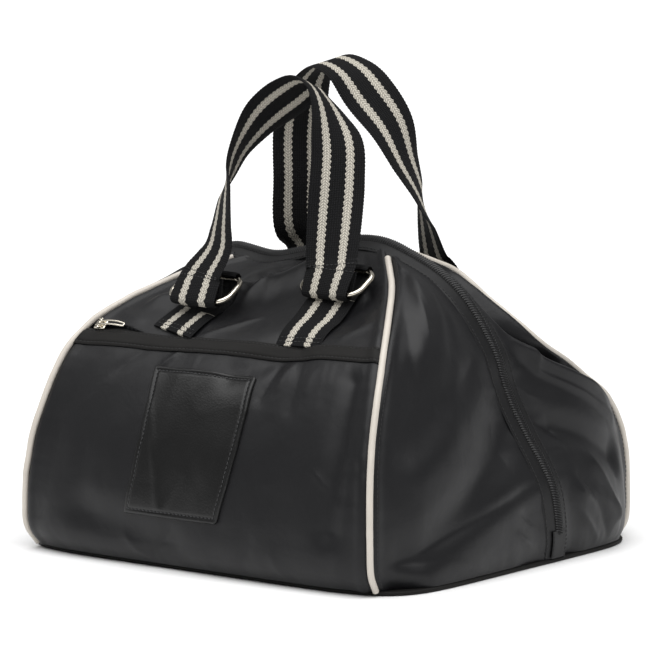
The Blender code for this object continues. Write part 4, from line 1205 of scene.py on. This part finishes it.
class BAG_OT_stage(bpy.types.Operator):
    """Camera at the photograph's angle, pale floor and soft studio lights"""

    bl_idname = "bag.stage"
    bl_label = "Stage"

    def execute(self, context):
        settings = context.scene.bag_stage
        context.scene.view_settings.view_transform = "Standard"
        level = math.cos(CAMERA_ELEVATION)
        away = np.array((math.sin(CAMERA_AZIMUTH) * level, -math.cos(CAMERA_AZIMUTH) * level,
                         math.sin(CAMERA_ELEVATION)))
        camera = bpy.data.cameras.new("camera")
        camera.sensor_width = 36
        camera.lens = settings.camera_lens
        camera.clip_end = 50
        viewer = bpy.data.objects.new("camera", camera)
        viewer.location = np.array(CAMERA_AIM) + away * settings.camera_distance
        viewer.rotation_euler = (math.pi / 2 - CAMERA_ELEVATION, 0, CAMERA_AZIMUTH)
        context.scene.collection.objects.link(viewer)
        context.scene.camera = viewer

        reach = np.linspace(-FLOOR_REACH, FLOOR_REACH, 31)
        x, y = np.meshgrid(reach, reach)
        top = np.stack((x, y, np.full_like(x, -FLOOR_DROP)), axis=-1)
        floor = slab("floor", top, top - (0, 0, 0.002), finish("white_studio_paper"))

        world = bpy.data.worlds.new("studio")
        world.use_nodes = True
        sky = world.node_tree.nodes["Background"]
        sky.inputs[0].default_value = (1, 1, 1, 1)
        sky.inputs[1].default_value = settings.sky_strength
        context.scene.world = world
        sun = bpy.data.lights.new("overhead", "SUN")
        sun.energy = settings.overhead_power
        sun.angle = OVERHEAD_SPREAD
        overhead = bpy.data.objects.new("overhead", sun)
        overhead.rotation_euler = OVERHEAD_TILT
        context.scene.collection.objects.link(overhead)
        for name, position, size, power in LAMPS:
            data = bpy.data.lights.new(name, "AREA")
            data.shape = "SQUARE"
            data.size = size
            data.energy = getattr(settings, power)
            lamp = bpy.data.objects.new(name, data)
            aim = np.array(LIGHT_AIM) - position
            pitch = math.atan2(aim[2], math.hypot(aim[0], aim[1]))
            lamp.location = position
            lamp.rotation_euler = (math.pi / 2 + pitch, 0, math.atan2(aim[1], aim[0]) - math.pi / 2)
            context.scene.collection.objects.link(lamp)
        return {"FINISHED"}


# Pieces

POCKET_TOP = POCKET_HEIGHT / SEAM_LENGTH
BAND_TOP = POCKET_TOP + (BAND_HEIGHT + 2 * GAP) / SEAM_LENGTH
MOUTH_TOP = BAND_TOP + POCKET_ZIP_HEIGHT / SEAM_LENGTH
ACROSS = np.linspace(-1, 1, 181)


class BAG_OT_base(bpy.types.Operator):
    """Stiffened floor with a rounded edge"""

    bl_idname = "bag.base"
    bl_label = "Base board"

    def execute(self, context):
        # Each level is a rounded rectangle: half sizes times cosine and sine to the power 2 over BASE_POWER
        angle = np.linspace(0, 2 * math.pi, 240, endpoint=False)
        power = 2 / BASE_POWER
        cosine, sine = np.cos(angle), np.sin(angle)
        inset, height = np.array(BOARD_RIM).T
        height = height * BASE_THICKNESS / 3
        x = (BASE_LENGTH / 2 + BOARD_OUTSET - inset)[:, None] * np.sign(cosine) * np.abs(cosine) ** power
        y = (HALF_DEPTH - BOARD_INSET - inset)[:, None] * np.sign(sine) * np.abs(sine) ** power
        points = np.stack(np.broadcast_arrays(x, y, height[:, None]), axis=-1)
        uv = np.stack(np.broadcast_arrays(angle[None] * RIM_RADIUS, height[:, None]), axis=-1)
        piece = new_piece("bound_base_board", points, ring_faces(len(inset), len(angle)),
                          finish("grosgrain_binding"), uv)
        place(piece, ["base_board"], "binding")
        return {"FINISHED"}


class BAG_OT_front_panel(bpy.types.Operator):
    """Front dome panel, stepped back behind the pocket"""

    bl_idname = "bag.front_panel"
    bl_label = "Front panel"

    def execute(self, context):
        up = np.concatenate((np.linspace(0, POCKET_TOP - 0.03, 40), np.linspace(POCKET_TOP - 0.02, 1, 120)))
        gape_start, gape_length = -0.60, 0.16
        step_depth, step_rise = 0.0036, 0.004

        # Below the mouth the panel lies behind the pocket; at the slider's end the mouth gapes down to its zip
        def face(across, rise):
            gape = ramp(gape_start - across, gape_length)
            mouth = BAND_TOP - step_rise + (MOUTH_TOP - BAND_TOP + step_rise) * gape
            inward = -step_depth * (1 - smooth_step((rise - mouth) / step_rise))
            return front_face(across, rise, FRONT_FOLDS, inward)

        thickness = context.scene.bag_cloth.cloth_thickness
        piece = cloth_wall("nylon_front_panel", face, ACROSS, up, thickness, finish("satin_black_nylon"))
        place(piece, ["front_panel"], "nylon")
        return {"FINISHED"}


class BAG_OT_back_panel(bpy.types.Operator):
    """Back dome panel"""

    bl_idname = "bag.back_panel"
    bl_label = "Back panel"

    def execute(self, context):
        thickness = context.scene.bag_cloth.cloth_thickness
        face = partial(dome_face, BACK, folds=BACK_FOLDS, seed=23)
        piece = cloth_wall("nylon_back_panel", face, ACROSS, np.linspace(0, 1, 160), thickness,
                           finish("satin_black_nylon"))
        place(piece, ["back_panel"], "nylon")
        return {"FINISHED"}


class BAG_OT_gores(bpy.types.Operator):
    """Four three-sided end panels between piping and zip"""

    bl_idname = "bag.gores"
    bl_label = "End gores"

    def execute(self, context):
        thickness = context.scene.bag_cloth.cloth_thickness
        for side, end in CORNERS:
            corner = corner_name(side, end)
            across = np.linspace(0, 1, 110)[::-1 if side * end > 0 else 1]
            face = partial(gore_face, side, end)
            piece = cloth_wall(f"nylon_gore_{corner}", face, across, np.linspace(0, 0.985, 170), thickness,
                               finish("satin_black_nylon"), HALF_DEPTH)
            place(piece, [f"gore_{corner}"], "nylon")

            share = np.linspace(0.01, 0.96, 300)
            seam, middle, _ = gore_ends(side, end, share)
            beside = SEAM_STITCH_INSET / (np.linalg.norm(seam - middle, axis=-1) - PLACKET_REACH)
            line, above = face(beside, share), face(beside, share, 0.001)
            thread = stitches(f"gore_stitches_{corner}", line, unit(above - line),
                              finish("bonded_nylon_thread"))
            place(thread, [], "nylon")
        return {"FINISHED"}


class BAG_OT_piping(bpy.types.Operator):
    """Off-white cords in the four seams"""

    bl_idname = "bag.piping"
    bl_label = "Piping"

    def execute(self, context):
        radius = context.scene.bag_trim.piping_diameter / 2
        for side, end in CORNERS:
            corner = corner_name(side, end)
            share = np.linspace(0, 1 - 0.0015 / SEAM[side, end][1][-1], 260)
            line = along(SEAM[side, end], share)
            outward = unit(line - (0, 0, 0.06))
            wander = soft_noise(share * 26, np.full_like(share, 0.3), 70 + side + 2 * end)
            line = line + outward * (0.0003 * wander)[:, None]
            if side == BACK:
                # The end panels' slack cloth partly hides these cords between their feet and the top
                aside_shift, inward_shift = 0.0022, 0.0010
                beside = unit(dome_frame(BACK, np.full_like(share, 0.95 * end), share) - line)
                hidden = smooth_step((share - 0.34) / 0.1) * smooth_step((0.86 - share) / 0.1)
                line = line + (beside * aside_shift - outward * inward_shift) * hidden[:, None]
            swell = soft_noise(share * 60, np.full_like(share, 0.7), 80 + side + 2 * end)
            wide = radius * (1 + 0.03 * swell)
            piece = tube(f"piping_cord_{corner}", line, outward, wide, finish("off_white_piping_cover"))
            place(piece, [f"piping_{corner}"], "piping")
        return {"FINISHED"}


def zip_frame(shares):
    """The zip's middle line, the ways in the cloth to its front and back edges, and the way outward."""
    middle = along(ZIP, shares)
    tangent = unit(np.gradient(middle, axis=0))
    to_front, to_back = zip_side(FRONT, shares), zip_side(BACK, shares)
    outward = unit(np.cross(tangent, to_back - to_front))
    return middle, to_front, to_back, outward


class BAG_OT_main_zip(bpy.types.Operator):
    """Zip coil with its teeth, folded plackets and cloth stops"""

    bl_idname = "bag.main_zip"
    bl_label = "Main zip"

    def execute(self, context):
        pitch = context.scene.bag_trim.tooth_pitch
        stop = END_TAB_HEIGHT / ZIP_LENGTH
        nylon, thread = finish("folded_nylon_placket"), finish("bonded_nylon_thread")

        # The coil's section is half an ellipse, its height rippled by a sine that leans away from the middle
        shares = np.linspace(stop, 1 - stop, int(ZIP_LENGTH / pitch * 5))
        middle, to_front, to_back, outward = zip_frame(shares)
        run = shares * ZIP_LENGTH
        place_across = np.linspace(1, -1, 21)
        reach = np.abs(place_across) * COIL_REACH
        edges = np.where(place_across[None, :, None] > 0, to_front[:, None], to_back[:, None])
        flat = middle[:, None] + edges * reach[None, :, None]
        slant = TOOTH_SLANT * reach[None]
        tooth = 0.5 + 0.5 * np.sin(2 * math.pi * (run[:, None] + slant) / pitch)
        body = np.sqrt(np.clip(1 - (place_across / COIL_BODY) ** 2, 0, 1))[None]
        height = COIL_BED + body * (COIL_RISE + TOOTH_RISE * tooth)
        top = flat + outward[:, None] * height[..., None]
        uv = np.stack(np.broadcast_arrays(place_across[None] * COIL_REACH, run[:, None]), axis=-1)
        bottom = flat - outward[:, None] * COIL_RISE
        coil = slab("zip_coil_teeth", top, bottom, finish("nylon_zip_coil"), uv)
        place(coil, ["zip_coil"], "coil")

        shares = np.linspace(0, 1, 520)
        middle, to_front, to_back, outward = zip_frame(shares)
        run = shares * ZIP_LENGTH
        start = COIL_REACH - PLACKET_OVERLAP
        across = unit(np.cross(outward, np.gradient(middle, axis=0)))
        narrower = {FRONT: 0, BACK: BACK_PLACKET_NARROWER}
        for side, aside in ((FRONT, to_front), (BACK, to_back)):
            width = PLACKET_WIDTH - narrower[side]
            wander = 0.0004 * soft_noise(run / 0.016, np.full_like(run, 0.4), 90 + side)[:, None]
            centre = middle + aside * (start + width / 2 + wander) - outward * PLACKET_SINK
            turn = np.sign(np.sum(across * aside, axis=1))[:, None]
            strip = padded_strip(f"zip_placket_cloth_{SIDE_NAMES[side]}", centre, aside * turn, outward,
                                 width, PLACKET_THICKNESS, nylon)
            place(strip, [f"zip_placket_{SIDE_NAMES[side]}"], "nylon")
            line = middle + aside * (start + width - PLACKET_STITCH_INSET + wander) + outward * 0.0007
            row = stitches(f"zip_stitches_{SIDE_NAMES[side]}", line, outward, thread)
            place(row, [], "coil")

        for end in (LEFT, RIGHT):
            span = np.linspace(0, stop * 1.15, 24)
            shares = span if end == LEFT else 1 - span[::-1]
            middle, to_front, to_back, outward = zip_frame(shares)
            aside = unit(to_front - to_back)
            centre = middle + outward * 0.0003 + aside * 0.0006
            tab = padded_strip(f"zip_stop_cloth_{END_NAMES[end]}", centre, aside, outward,
                               STOP_WIDTH, STOP_THICKNESS, nylon)
            place(tab, [f"zip_end_tab_{END_NAMES[end]}"], "nylon")
            for way in (-1, 1):
                line = centre + aside * way * STOP_STITCH_REACH + outward * 0.0004
                row = stitches(f"zip_stop_stitches_{END_NAMES[end]}_{1 + way}", line, outward, thread)
                place(row, [], "coil")
        return {"FINISHED"}


class BAG_OT_pocket(bpy.types.Operator):
    """Front pocket: its cloth, the stitched binding along its mouth, and the zip behind it"""

    bl_idname = "bag.pocket"
    bl_label = "Front pocket"

    def execute(self, context):
        thickness = context.scene.bag_cloth.cloth_thickness
        folds = BROAD_FOLDS[FRONT] + POCKET_FOLDS

        def pocket_face(across, rise):
            beside = (POCKET_TOP - rise) * SEAM_LENGTH
            run = across * HALF_SPAN
            gathered = puckers(run, np.abs(beside), pitch=0.009, height=0.0007, reach=0.016, seed=31)
            gathered = gathered * np.clip(0.55 + across, 0.15, 1) * ramp(beside, 0.004)
            return front_face(across, rise, folds, gathered)

        cloth = cloth_wall("nylon_pocket_panel", pocket_face, ACROSS,
                           np.linspace(0, POCKET_TOP + 0.004 / SEAM_LENGTH, 130), thickness,
                           finish("satin_black_nylon"))
        place(cloth, ["pocket_panel"], "nylon")

        share = np.sin(np.linspace(-1, 1, 21) * math.pi / 2)
        rises = POCKET_TOP + (share + 1) / 2 * (BAND_TOP - POCKET_TOP)
        a, b = np.meshgrid(ACROSS, rises)
        shift = 0.0006 * soft_noise(a * HALF_SPAN / 0.030, np.full_like(a, 0.2), 33) / SEAM_LENGTH
        swell = 0.0012 * (1 - np.abs(share) ** 6 * 0.9)[:, None]
        seam = 0.0006 * sum(bell(share - line, 0.08) for line in (-0.68, 0.70))[:, None]
        top = front_face(a, b + shift, folds, BAND_CLEARANCE + swell - seam)
        bottom = front_face(a, b + shift, folds, BAND_CLEARANCE - swell)
        uv = np.stack((a * HALF_SPAN, b * SEAM_LENGTH), axis=-1)
        band = slab("pocket_band_binding", top, bottom, finish("grosgrain_binding"), uv)
        place(band, ["pocket_band"], "binding")
        outward = grid_normals(top)
        for number, row in enumerate((5, 15)):
            line = top[row] + outward[row] * 0.0001
            thread = stitches(f"pocket_band_stitches_{number}", line, outward[row],
                              finish("bonded_nylon_thread"))
            place(thread, [], "binding")

        a, b = np.meshgrid(np.linspace(-0.97, 0.97, 900), np.linspace(BAND_TOP - 0.004, MOUTH_TOP + 0.002, 9))
        middle = np.abs(np.linspace(-1, 1, 9))[:, None]
        tooth = 0.5 + 0.5 * np.cos(2 * math.pi * a * HALF_SPAN / POCKET_TOOTH_PITCH)
        rise = -0.0030 + 0.0014 * np.clip(1 - middle / 0.6, 0, 1) * (0.6 + 0.4 * tooth)
        top = front_face(a, b, BROAD_FOLDS[FRONT], rise)
        bottom = front_face(a, b, BROAD_FOLDS[FRONT], -0.0034)
        uv = np.stack((b * SEAM_LENGTH, a * HALF_SPAN), axis=-1)
        coil = slab("pocket_zip_coil", top, bottom, finish("nylon_zip_coil"), uv)
        place(coil, ["pocket_zip"], "coil")
        return {"FINISHED"}


def wire_loop(name, start, ahead, aside, outward, length, half_width, radius, bend):
    """A long loop of nickel wire from a start.

    The wire runs ahead by length times (1 - cosine) / 2 and aside by half_width times the sine to the power
    0.35. It bows outward by bend times the sine of the way along, and droops by bend past 0.7 of it.
    """
    turn = np.linspace(0, 2 * math.pi, 64, endpoint=False)
    share = 0.5 - 0.5 * np.cos(turn)
    spread = half_width * np.sign(np.sin(turn)) * np.abs(np.sin(turn)) ** 0.35
    bow = bend * np.sin(share * math.pi) - bend * np.clip(share - 0.7, 0, 1)
    line = start + ahead * (share * length)[:, None] + aside * spread[:, None] + outward * bow[:, None]
    facing = np.tile(outward, (len(line), 1))
    return tube(name, line, facing, radius, finish("polished_nickel"), sides=10, closed=True)


class BAG_OT_sliders(bpy.types.Operator):
    """Main slider at the hidden foot, pocket slider, and the wire pull that swings on it"""

    bl_idname = "bag.sliders"
    bl_label = "Sliders and pull"

    def execute(self, context):
        nickel = finish("polished_nickel")
        for slot in frame["nodes"]["pocket_zip_slider"].material_slots:
            slot.link = "OBJECT"
            slot.material = nickel

        low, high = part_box("zip_slider")
        stations = 16
        shares = (np.linspace(low[2], low[2] + SLIDER_BODY, stations) - HEM) / ZIP_LENGTH
        middle, to_front, to_back, outward = zip_frame(shares)
        aside = unit(to_front - to_back)
        taper = -0.0014 * np.linspace(0, 1, stations) ** 2
        body = padded_strip("zip_slider_body", middle + outward * 0.0036, aside, outward,
                            width=0.0095, thickness=0.0040, finish=nickel, power=4, edge=taper)
        place(body, ["zip_slider"], "steel")
        half = stations // 2
        main_pull = wire_loop("zip_slider_wire_pull", middle[half] + outward[half] * 0.0064,
                              unit(middle[-1] - middle[0]), aside[half], outward[half],
                              length=high[2] - middle[half, 2], half_width=0.0026, radius=0.0008, bend=0.0)
        place(main_pull, [], "steel")

        joint = frame["record"]["behaviour"]["joints"][0]
        hinge = np.array(joint["pos_m"])
        upward = -unit(np.array(joint["axis"]))
        sideways = unit(LENGTHWISE - upward * upward[0])
        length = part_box("pocket_zip_pull")[1][0] - hinge[0]
        pull = wire_loop("wire_pull", hinge, sideways, upward, np.cross(sideways, upward),
                         length=length, half_width=0.0016, radius=0.00062, bend=0.0012)
        place(pull, ["pocket_zip_pull"], "steel", PULL)
        return {"FINISHED"}


def patch_place(x, y, lift):
    """Points of the patch: x and y in metres from its middle, widened and shifted by PATCH_SHAPE."""
    shape = np.array(PATCH_SHAPE)
    share = y / PATCH_HEIGHT + 0.5
    left, right = (np.interp(share, shape[:, 0], shape[:, k]) for k in (1, 2))
    across = (left + right) / 2 + x / PATCH_WIDTH * (right - left)
    rise = PATCH_FOOT + share * PATCH_HEIGHT + PATCH_TOP_TILT * across * share
    return front_face(across / HALF_SPAN, rise / SEAM_LENGTH, BROAD_FOLDS[FRONT], lift)


def patch_relief(x, y, inside):
    """Height of the patch's creases, which die out within 6 mm of its edge.

    At its lower left a facet rises away from a sloping line, which is creased, and a second crease leans the
    other way below the middle. Two round swells stand up, one at the left and one right of the middle.
    """
    from_line = (x + 0.021) * 0.93 + (y + 0.020) * 0.36
    facet = 0.0014 * ramp(-from_line, 0.026) + 0.0006 * bell(from_line, 0.003)
    from_second = (x + 0.004) * 0.95 - (y + 0.040) * 0.30
    facet = facet + 0.0005 * bell(from_second, 0.004) * ramp(-y, 0.02)
    left = 0.0011 * bell(x + 0.022 - 0.1 * y, 0.008) * ramp(y + 0.030, 0.030)
    right = 0.0011 * bell(x - 0.020, 0.009) * bell(y + 0.008, 0.024)
    return (facet + left + right) * ramp(inside, 0.006)


class BAG_OT_patch(bpy.types.Operator):
    """Bare leather patch with a stitched edge"""

    bl_idname = "bag.patch"
    bl_label = "Leather patch"

    def execute(self, context):
        thickness = context.scene.bag_trim.patch_thickness
        half = np.array((PATCH_WIDTH / 2, PATCH_HEIGHT / 2))
        u, v = np.linspace(-1, 1, 91), np.linspace(-1, 1, 111)
        columns = (0.6 * u + 0.4 * np.sin(u * math.pi / 2)) * half[0]
        levels = (0.6 * v + 0.4 * np.sin(v * math.pi / 2)) * half[1]
        spots = np.stack(np.meshgrid(columns, levels), axis=-1)
        # Where both sides are nearer than the corner's radius, points are drawn in onto its arcs
        over = np.clip(np.abs(spots) - half + PATCH_CORNER, 0, None)
        drawn_in = over * (np.max(over, axis=-1) / np.maximum(np.linalg.norm(over, axis=-1), 1e-9))[..., None]
        spots = np.sign(spots) * (np.abs(spots) - over + drawn_in)
        x, y = spots[..., 0], spots[..., 1]
        inside = np.min(half - np.abs(spots), axis=-1)
        edge = np.sqrt(1 - (1 - ramp(inside, 0.0011)) ** 2)
        groove = 0.0007 * bell(inside - PATCH_STITCH_INSET, 0.0009)
        lift = PATCH_CLEARANCE + thickness * edge - groove + patch_relief(x, y, inside)
        top = patch_place(x, y, lift)
        bottom = patch_place(x, y, np.full_like(x, -0.0004))
        patch = slab("leather_patch_stitched", top, bottom, finish("pebbled_black_leather"), spots)
        place(patch, ["leather_patch"], "leather")

        w, h = half - PATCH_STITCH_INSET
        outline = np.array(((-w, -h), (w, -h), (w, h), (-w, h), (-w, -h)))
        reach = distances(outline)
        x, y = read_at(np.linspace(0, reach[-1], 400), reach, outline).T
        bed = PATCH_CLEARANCE + thickness - 0.0004
        height = bed + patch_relief(x, y, np.full_like(x, PATCH_STITCH_INSET))
        line, above = patch_place(x, y, height), patch_place(x, y, height + 0.001)
        thread = stitches("patch_stitches", line, unit(above - line), finish("waxed_patch_thread"),
                          length=0.0021, width=0.0009)
        place(thread, [], "leather")
        return {"FINISHED"}


def ring_seat(side, end):
    """A ring's lower bar: its middle, and the directions along the bar, up the ring and outward."""
    middle, seat = RING_SEAT[side, end]
    x = middle + np.linspace(-0.5, 0.5, 5)[:, None] * RING_WIDTH
    rise = seat + np.linspace(-0.25, 1, 6) * RING_REACH / SEAM_LENGTH
    bed = panel_at(side, x, rise)
    bar = unit(np.mean(bed[-1] - bed[0], axis=0))
    upward = np.mean(bed[:, -1] - bed[:, 1], axis=0)
    upward = unit(upward - bar * (upward @ bar))
    outward = -side * np.cross(bar, upward)
    foot = bed[2, 1]
    lift = np.max((bed - foot) @ outward) + TAB_CLEARANCE + WEBBING_LAYER + RING_WIRE / 2
    low = foot + outward * (lift + WEBBING_LAYER)
    upward = unit(foot + upward * RING_REACH + outward * lift - low)
    return low, bar, upward, -side * np.cross(bar, upward)


class BAG_OT_rings(bpy.types.Operator):
    """Four oval rings of nickel-plated wire"""

    bl_idname = "bag.rings"
    bl_label = "Rings"

    def execute(self, context):
        for side, end in CORNERS:
            corner = corner_name(side, end)
            low, bar, upward, outward = ring_seat(side, end)
            # Four straight sides joined by quarter circles: the corner's middle, plus its radius at the angle
            angle = np.linspace(0, 2 * math.pi, 120, endpoint=False) + 0.01
            cosine, sine = np.cos(angle), np.sin(angle)
            x = np.sign(cosine) * (RING_HALF - RING_CORNER) + RING_CORNER * cosine
            y = np.sign(sine) * (RING_REACH / 2 - RING_CORNER) + RING_CORNER * sine
            middle = low + upward * RING_REACH / 2
            line = middle + bar * x[:, None] + upward * y[:, None]
            ring = tube(f"wire_ring_{corner}", line, np.tile(outward, (len(line), 1)), RING_WIRE / 2,
                        finish("polished_nickel"), closed=True)
            place(ring, [f"ring_{corner}"], "steel")
        return {"FINISHED"}


def woven_edge(run):
    """Waviness of webbing's edge: a loop of weft every 2.4 mm."""
    loops = 0.00022 * np.sin(2 * math.pi * run / 0.0024)
    return loops + 0.00025 * soft_noise(run / 0.02, np.full_like(run, 0.5), 7)


def strap(name, line, facing, context, spacing=0.0008):
    """Webbing along a smooth line, its width along facing, made square to the line, with a woven edge.

    Gives the piece, and its middle line, the ways across and outward, and the distance along it.
    """
    trim = context.scene.bag_trim
    smooth, distance = smooth_line(np.column_stack((line, facing)), steps=16)
    run = np.linspace(0, distance[-1], int(distance[-1] / spacing))
    points = read_at(run, distance, smooth)
    centre = points[:, :3]
    tangent = unit(np.gradient(centre, axis=0))
    aside = square_to(points[:, 3:], tangent)
    outward = np.cross(aside, tangent)
    piece = padded_strip(name, centre, aside, outward, trim.webbing_width, trim.webbing_thickness,
                         finish("striped_cotton_webbing"), columns=25, power=10, edge=woven_edge(run))
    return piece, (centre, aside, outward, run)


def cross_stitches(name, webbing, place_up, lift, face=1):
    """A row of stitches across webbing, at a distance along it, on its outer face (1) or inner face (-1)."""
    centre, across, away, run = webbing
    row = int(np.argmin(np.abs(run - place_up)))
    reach = np.linspace(-CROSS_STITCH_REACH, CROSS_STITCH_REACH, 30)[:, None]
    line = centre[row] + across[row] * reach + away[row] * lift * face
    thread = stitches(name, line, np.tile(away[row] * face, (len(line), 1)), finish("bonded_nylon_thread"))
    place(thread, [], "webbing")


class BAG_OT_tabs(bpy.types.Operator):
    """Webbing tabs up the panels, each folded over its ring's upper bar, where its stripes have run out"""

    bl_idname = "bag.tabs"
    bl_label = "Ring tabs"

    def execute(self, context):
        for side, end in CORNERS:
            corner = corner_name(side, end)
            low, bar, upward, outward = ring_seat(side, end)
            high = low + upward * RING_REACH
            x, seat = RING_SEAT[side, end]
            foot = BAND_TOP + 0.001 / SEAM_LENGTH if side == FRONT else seat - BACK_TAB_LENGTH / SEAM_LENGTH
            rises = np.linspace(foot, seat + 0.7 * RING_REACH / SEAM_LENGTH, 8)
            x = np.linspace(end * TAB_FOOT_SPREAD if side == FRONT else x, x, 8)
            half_width = 0.019
            laid = panel_at(side, x, rises, np.full(8, TAB_LIFT))
            left = panel_at(side, x - half_width, rises)
            right = panel_at(side, x + half_width, rises)
            aside = unit(right - left) * -side
            angle = np.radians((-90, -45, 0, 45, 90, 125))
            radius = (RING_WIRE + WEBBING_LAYER + WEBBING_CLEARANCE) / 2
            hook = high + radius * (upward * np.cos(angle)[:, None] + outward * np.sin(angle)[:, None])
            facing = np.vstack((aside, np.tile(bar * -side, (len(hook), 1))))
            tab, webbing = strap(f"webbing_tab_{corner}", np.vstack((laid, hook)), facing, context)
            # The stripes run out where the tab passes the ring's lower bar
            centre, run = webbing[0], webbing[3]
            plain_from = run[int(np.argmin(np.linalg.norm(centre - low, axis=1)))]
            woven = tab.data.uv_layers["cloth"].data
            cloth = np.zeros(len(woven) * 2)
            woven.foreach_get("uv", cloth)
            cloth = cloth.reshape(-1, 2)
            cloth[cloth[:, 1] > plain_from, 0] *= PLAIN_TURN
            woven.foreach_set("uv", cloth.ravel())
            place(tab, [f"tab_{corner}"], "webbing")
            for number, place_up in enumerate(TAB_STITCHES):
                cross_stitches(f"tab_stitches_{corner}_{number}", webbing, place_up, 0.0011)
        return {"FINISHED"}


def handle_loop(side, end, leg, facing):
    """The handle's teardrop round a ring's lower bar, from its tucked end to where the leg begins.

    The tucked end and the leg turn together, from the bar's direction towards the leg's own facing.
    """
    low, bar, _, _ = ring_seat(side, end)
    upward = leg - low
    height = np.linalg.norm(upward)
    upward = unit(upward - bar * (upward @ bar))
    radius = (RING_WIRE + WEBBING_LAYER + WEBBING_CLEARANCE) / 2
    pinch = WEBBING_LAYER * 0.55
    near = radius * 0.85
    angle = np.radians((180, 220, 270, 320, 360))
    out = np.concatenate(((-pinch, -near), radius * np.cos(angle), (near, pinch)))
    rise = np.concatenate(((0.017, 0.008), radius * np.sin(angle), (0.008, 0.018)))
    share = np.clip(rise / height, 0, 1)[:, None] ** 1.5
    turned = unit(bar * end * (1 - share) + facing * share)
    away = -side * end * np.cross(turned, upward)
    return np.hstack((low + away * out[:, None] + upward * rise[:, None], turned))


class BAG_OT_handles(bpy.types.Operator):
    """Two webbing handles, each looped round its rings and turned edge-on over its top"""

    bl_idname = "bag.handles"
    bl_label = "Handles"

    def execute(self, context):
        handles = ((FRONT, FRONT_HANDLE_LINE, FRONT_HANDLE_TOP), (BACK, BACK_HANDLE_LINE, BACK_HANDLE_TOP))
        for side, table, top in handles:
            rows = np.array(table)
            low = {end: ring_seat(side, end)[0] for end in (LEFT, RIGHT)}
            share = np.clip((1 + rows[:, :1]) / 2, 0, 1)
            base = low[LEFT] * (1 - share) + low[RIGHT] * share
            x = rows[:, 0] * TAB_SPACING / 2
            y = base[:, 1] - side * rows[:, 1] * HALF_DEPTH
            z = base[:, 2] + rows[:, 2] * (top - base[:, 2])
            turn = np.radians(rows[:, 3])
            width = unit(np.column_stack((np.cos(turn), -side * np.sin(turn), -rows[:, 4])))
            arch = np.column_stack((x, y, z, width))
            line = np.vstack((handle_loop(side, RIGHT, arch[0, :3], arch[0, 3:]), arch,
                              handle_loop(side, LEFT, arch[-1, :3], arch[-1, 3:])[::-1]))
            name = SIDE_NAMES[side]
            handle, webbing = strap(f"webbing_handle_{name}", line[:, :3], line[:, 3:], context)
            place(handle, [f"handle_{name}"], "webbing")
            length = webbing[3][-1]
            ends = [length - place_up for place_up in reversed(HANDLE_STITCHES)]
            for number, place_up in enumerate((*HANDLE_STITCHES, *ends)):
                for face in (-1, 1):
                    row = f"handle_stitches_{name}_{number}_{1 + face}"
                    cross_stitches(row, webbing, place_up, 0.0010, face)
        return {"FINISHED"}


class BAG_PT_pieces(bpy.types.Panel):
    """The bag's pieces and settings"""

    bl_idname = "BAG_PT_pieces"
    bl_label = "Riding helmet bag"
    bl_space_type = "VIEW_3D"
    bl_region_type = "UI"
    bl_category = "Bag"

    def draw(self, context):
        for group in GROUPS:
            settings = getattr(context.scene, group)
            column = self.layout.column(align=True)
            for name in settings.bl_rna.properties.keys():
                if name not in ("rna_type", "name"):
                    column.prop(settings, name)
        for operator in OPERATORS:
            self.layout.operator(operator.bl_idname)


GROUPS = {"bag_cloth": BagCloth, "bag_trim": BagTrim, "bag_stage": BagStage}
OPERATORS = (
    BAG_OT_stage,
    BAG_OT_base,
    BAG_OT_front_panel,
    BAG_OT_back_panel,
    BAG_OT_gores,
    BAG_OT_piping,
    BAG_OT_main_zip,
    BAG_OT_pocket,
    BAG_OT_sliders,
    BAG_OT_patch,
    BAG_OT_rings,
    BAG_OT_tabs,
    BAG_OT_handles,
)


def register():
    """Add the settings, operators and panel to Blender."""
    for item in (*GROUPS.values(), *OPERATORS, BAG_PT_pieces):
        bpy.utils.register_class(item)
    for name, group in GROUPS.items():
        setattr(bpy.types.Scene, name, PointerProperty(type=group))


def unregister():
    """Take the settings, operators and panel out of Blender again."""
    for name in GROUPS:
        delattr(bpy.types.Scene, name)
    for item in (BAG_PT_pieces, *reversed(OPERATORS), *GROUPS.values()):
        bpy.utils.unregister_class(item)


def main():
    register()
    for operator in OPERATORS:
        getattr(bpy.ops.bag, operator.bl_idname.removeprefix("bag."))()


if __name__ == "__main__":
    main()
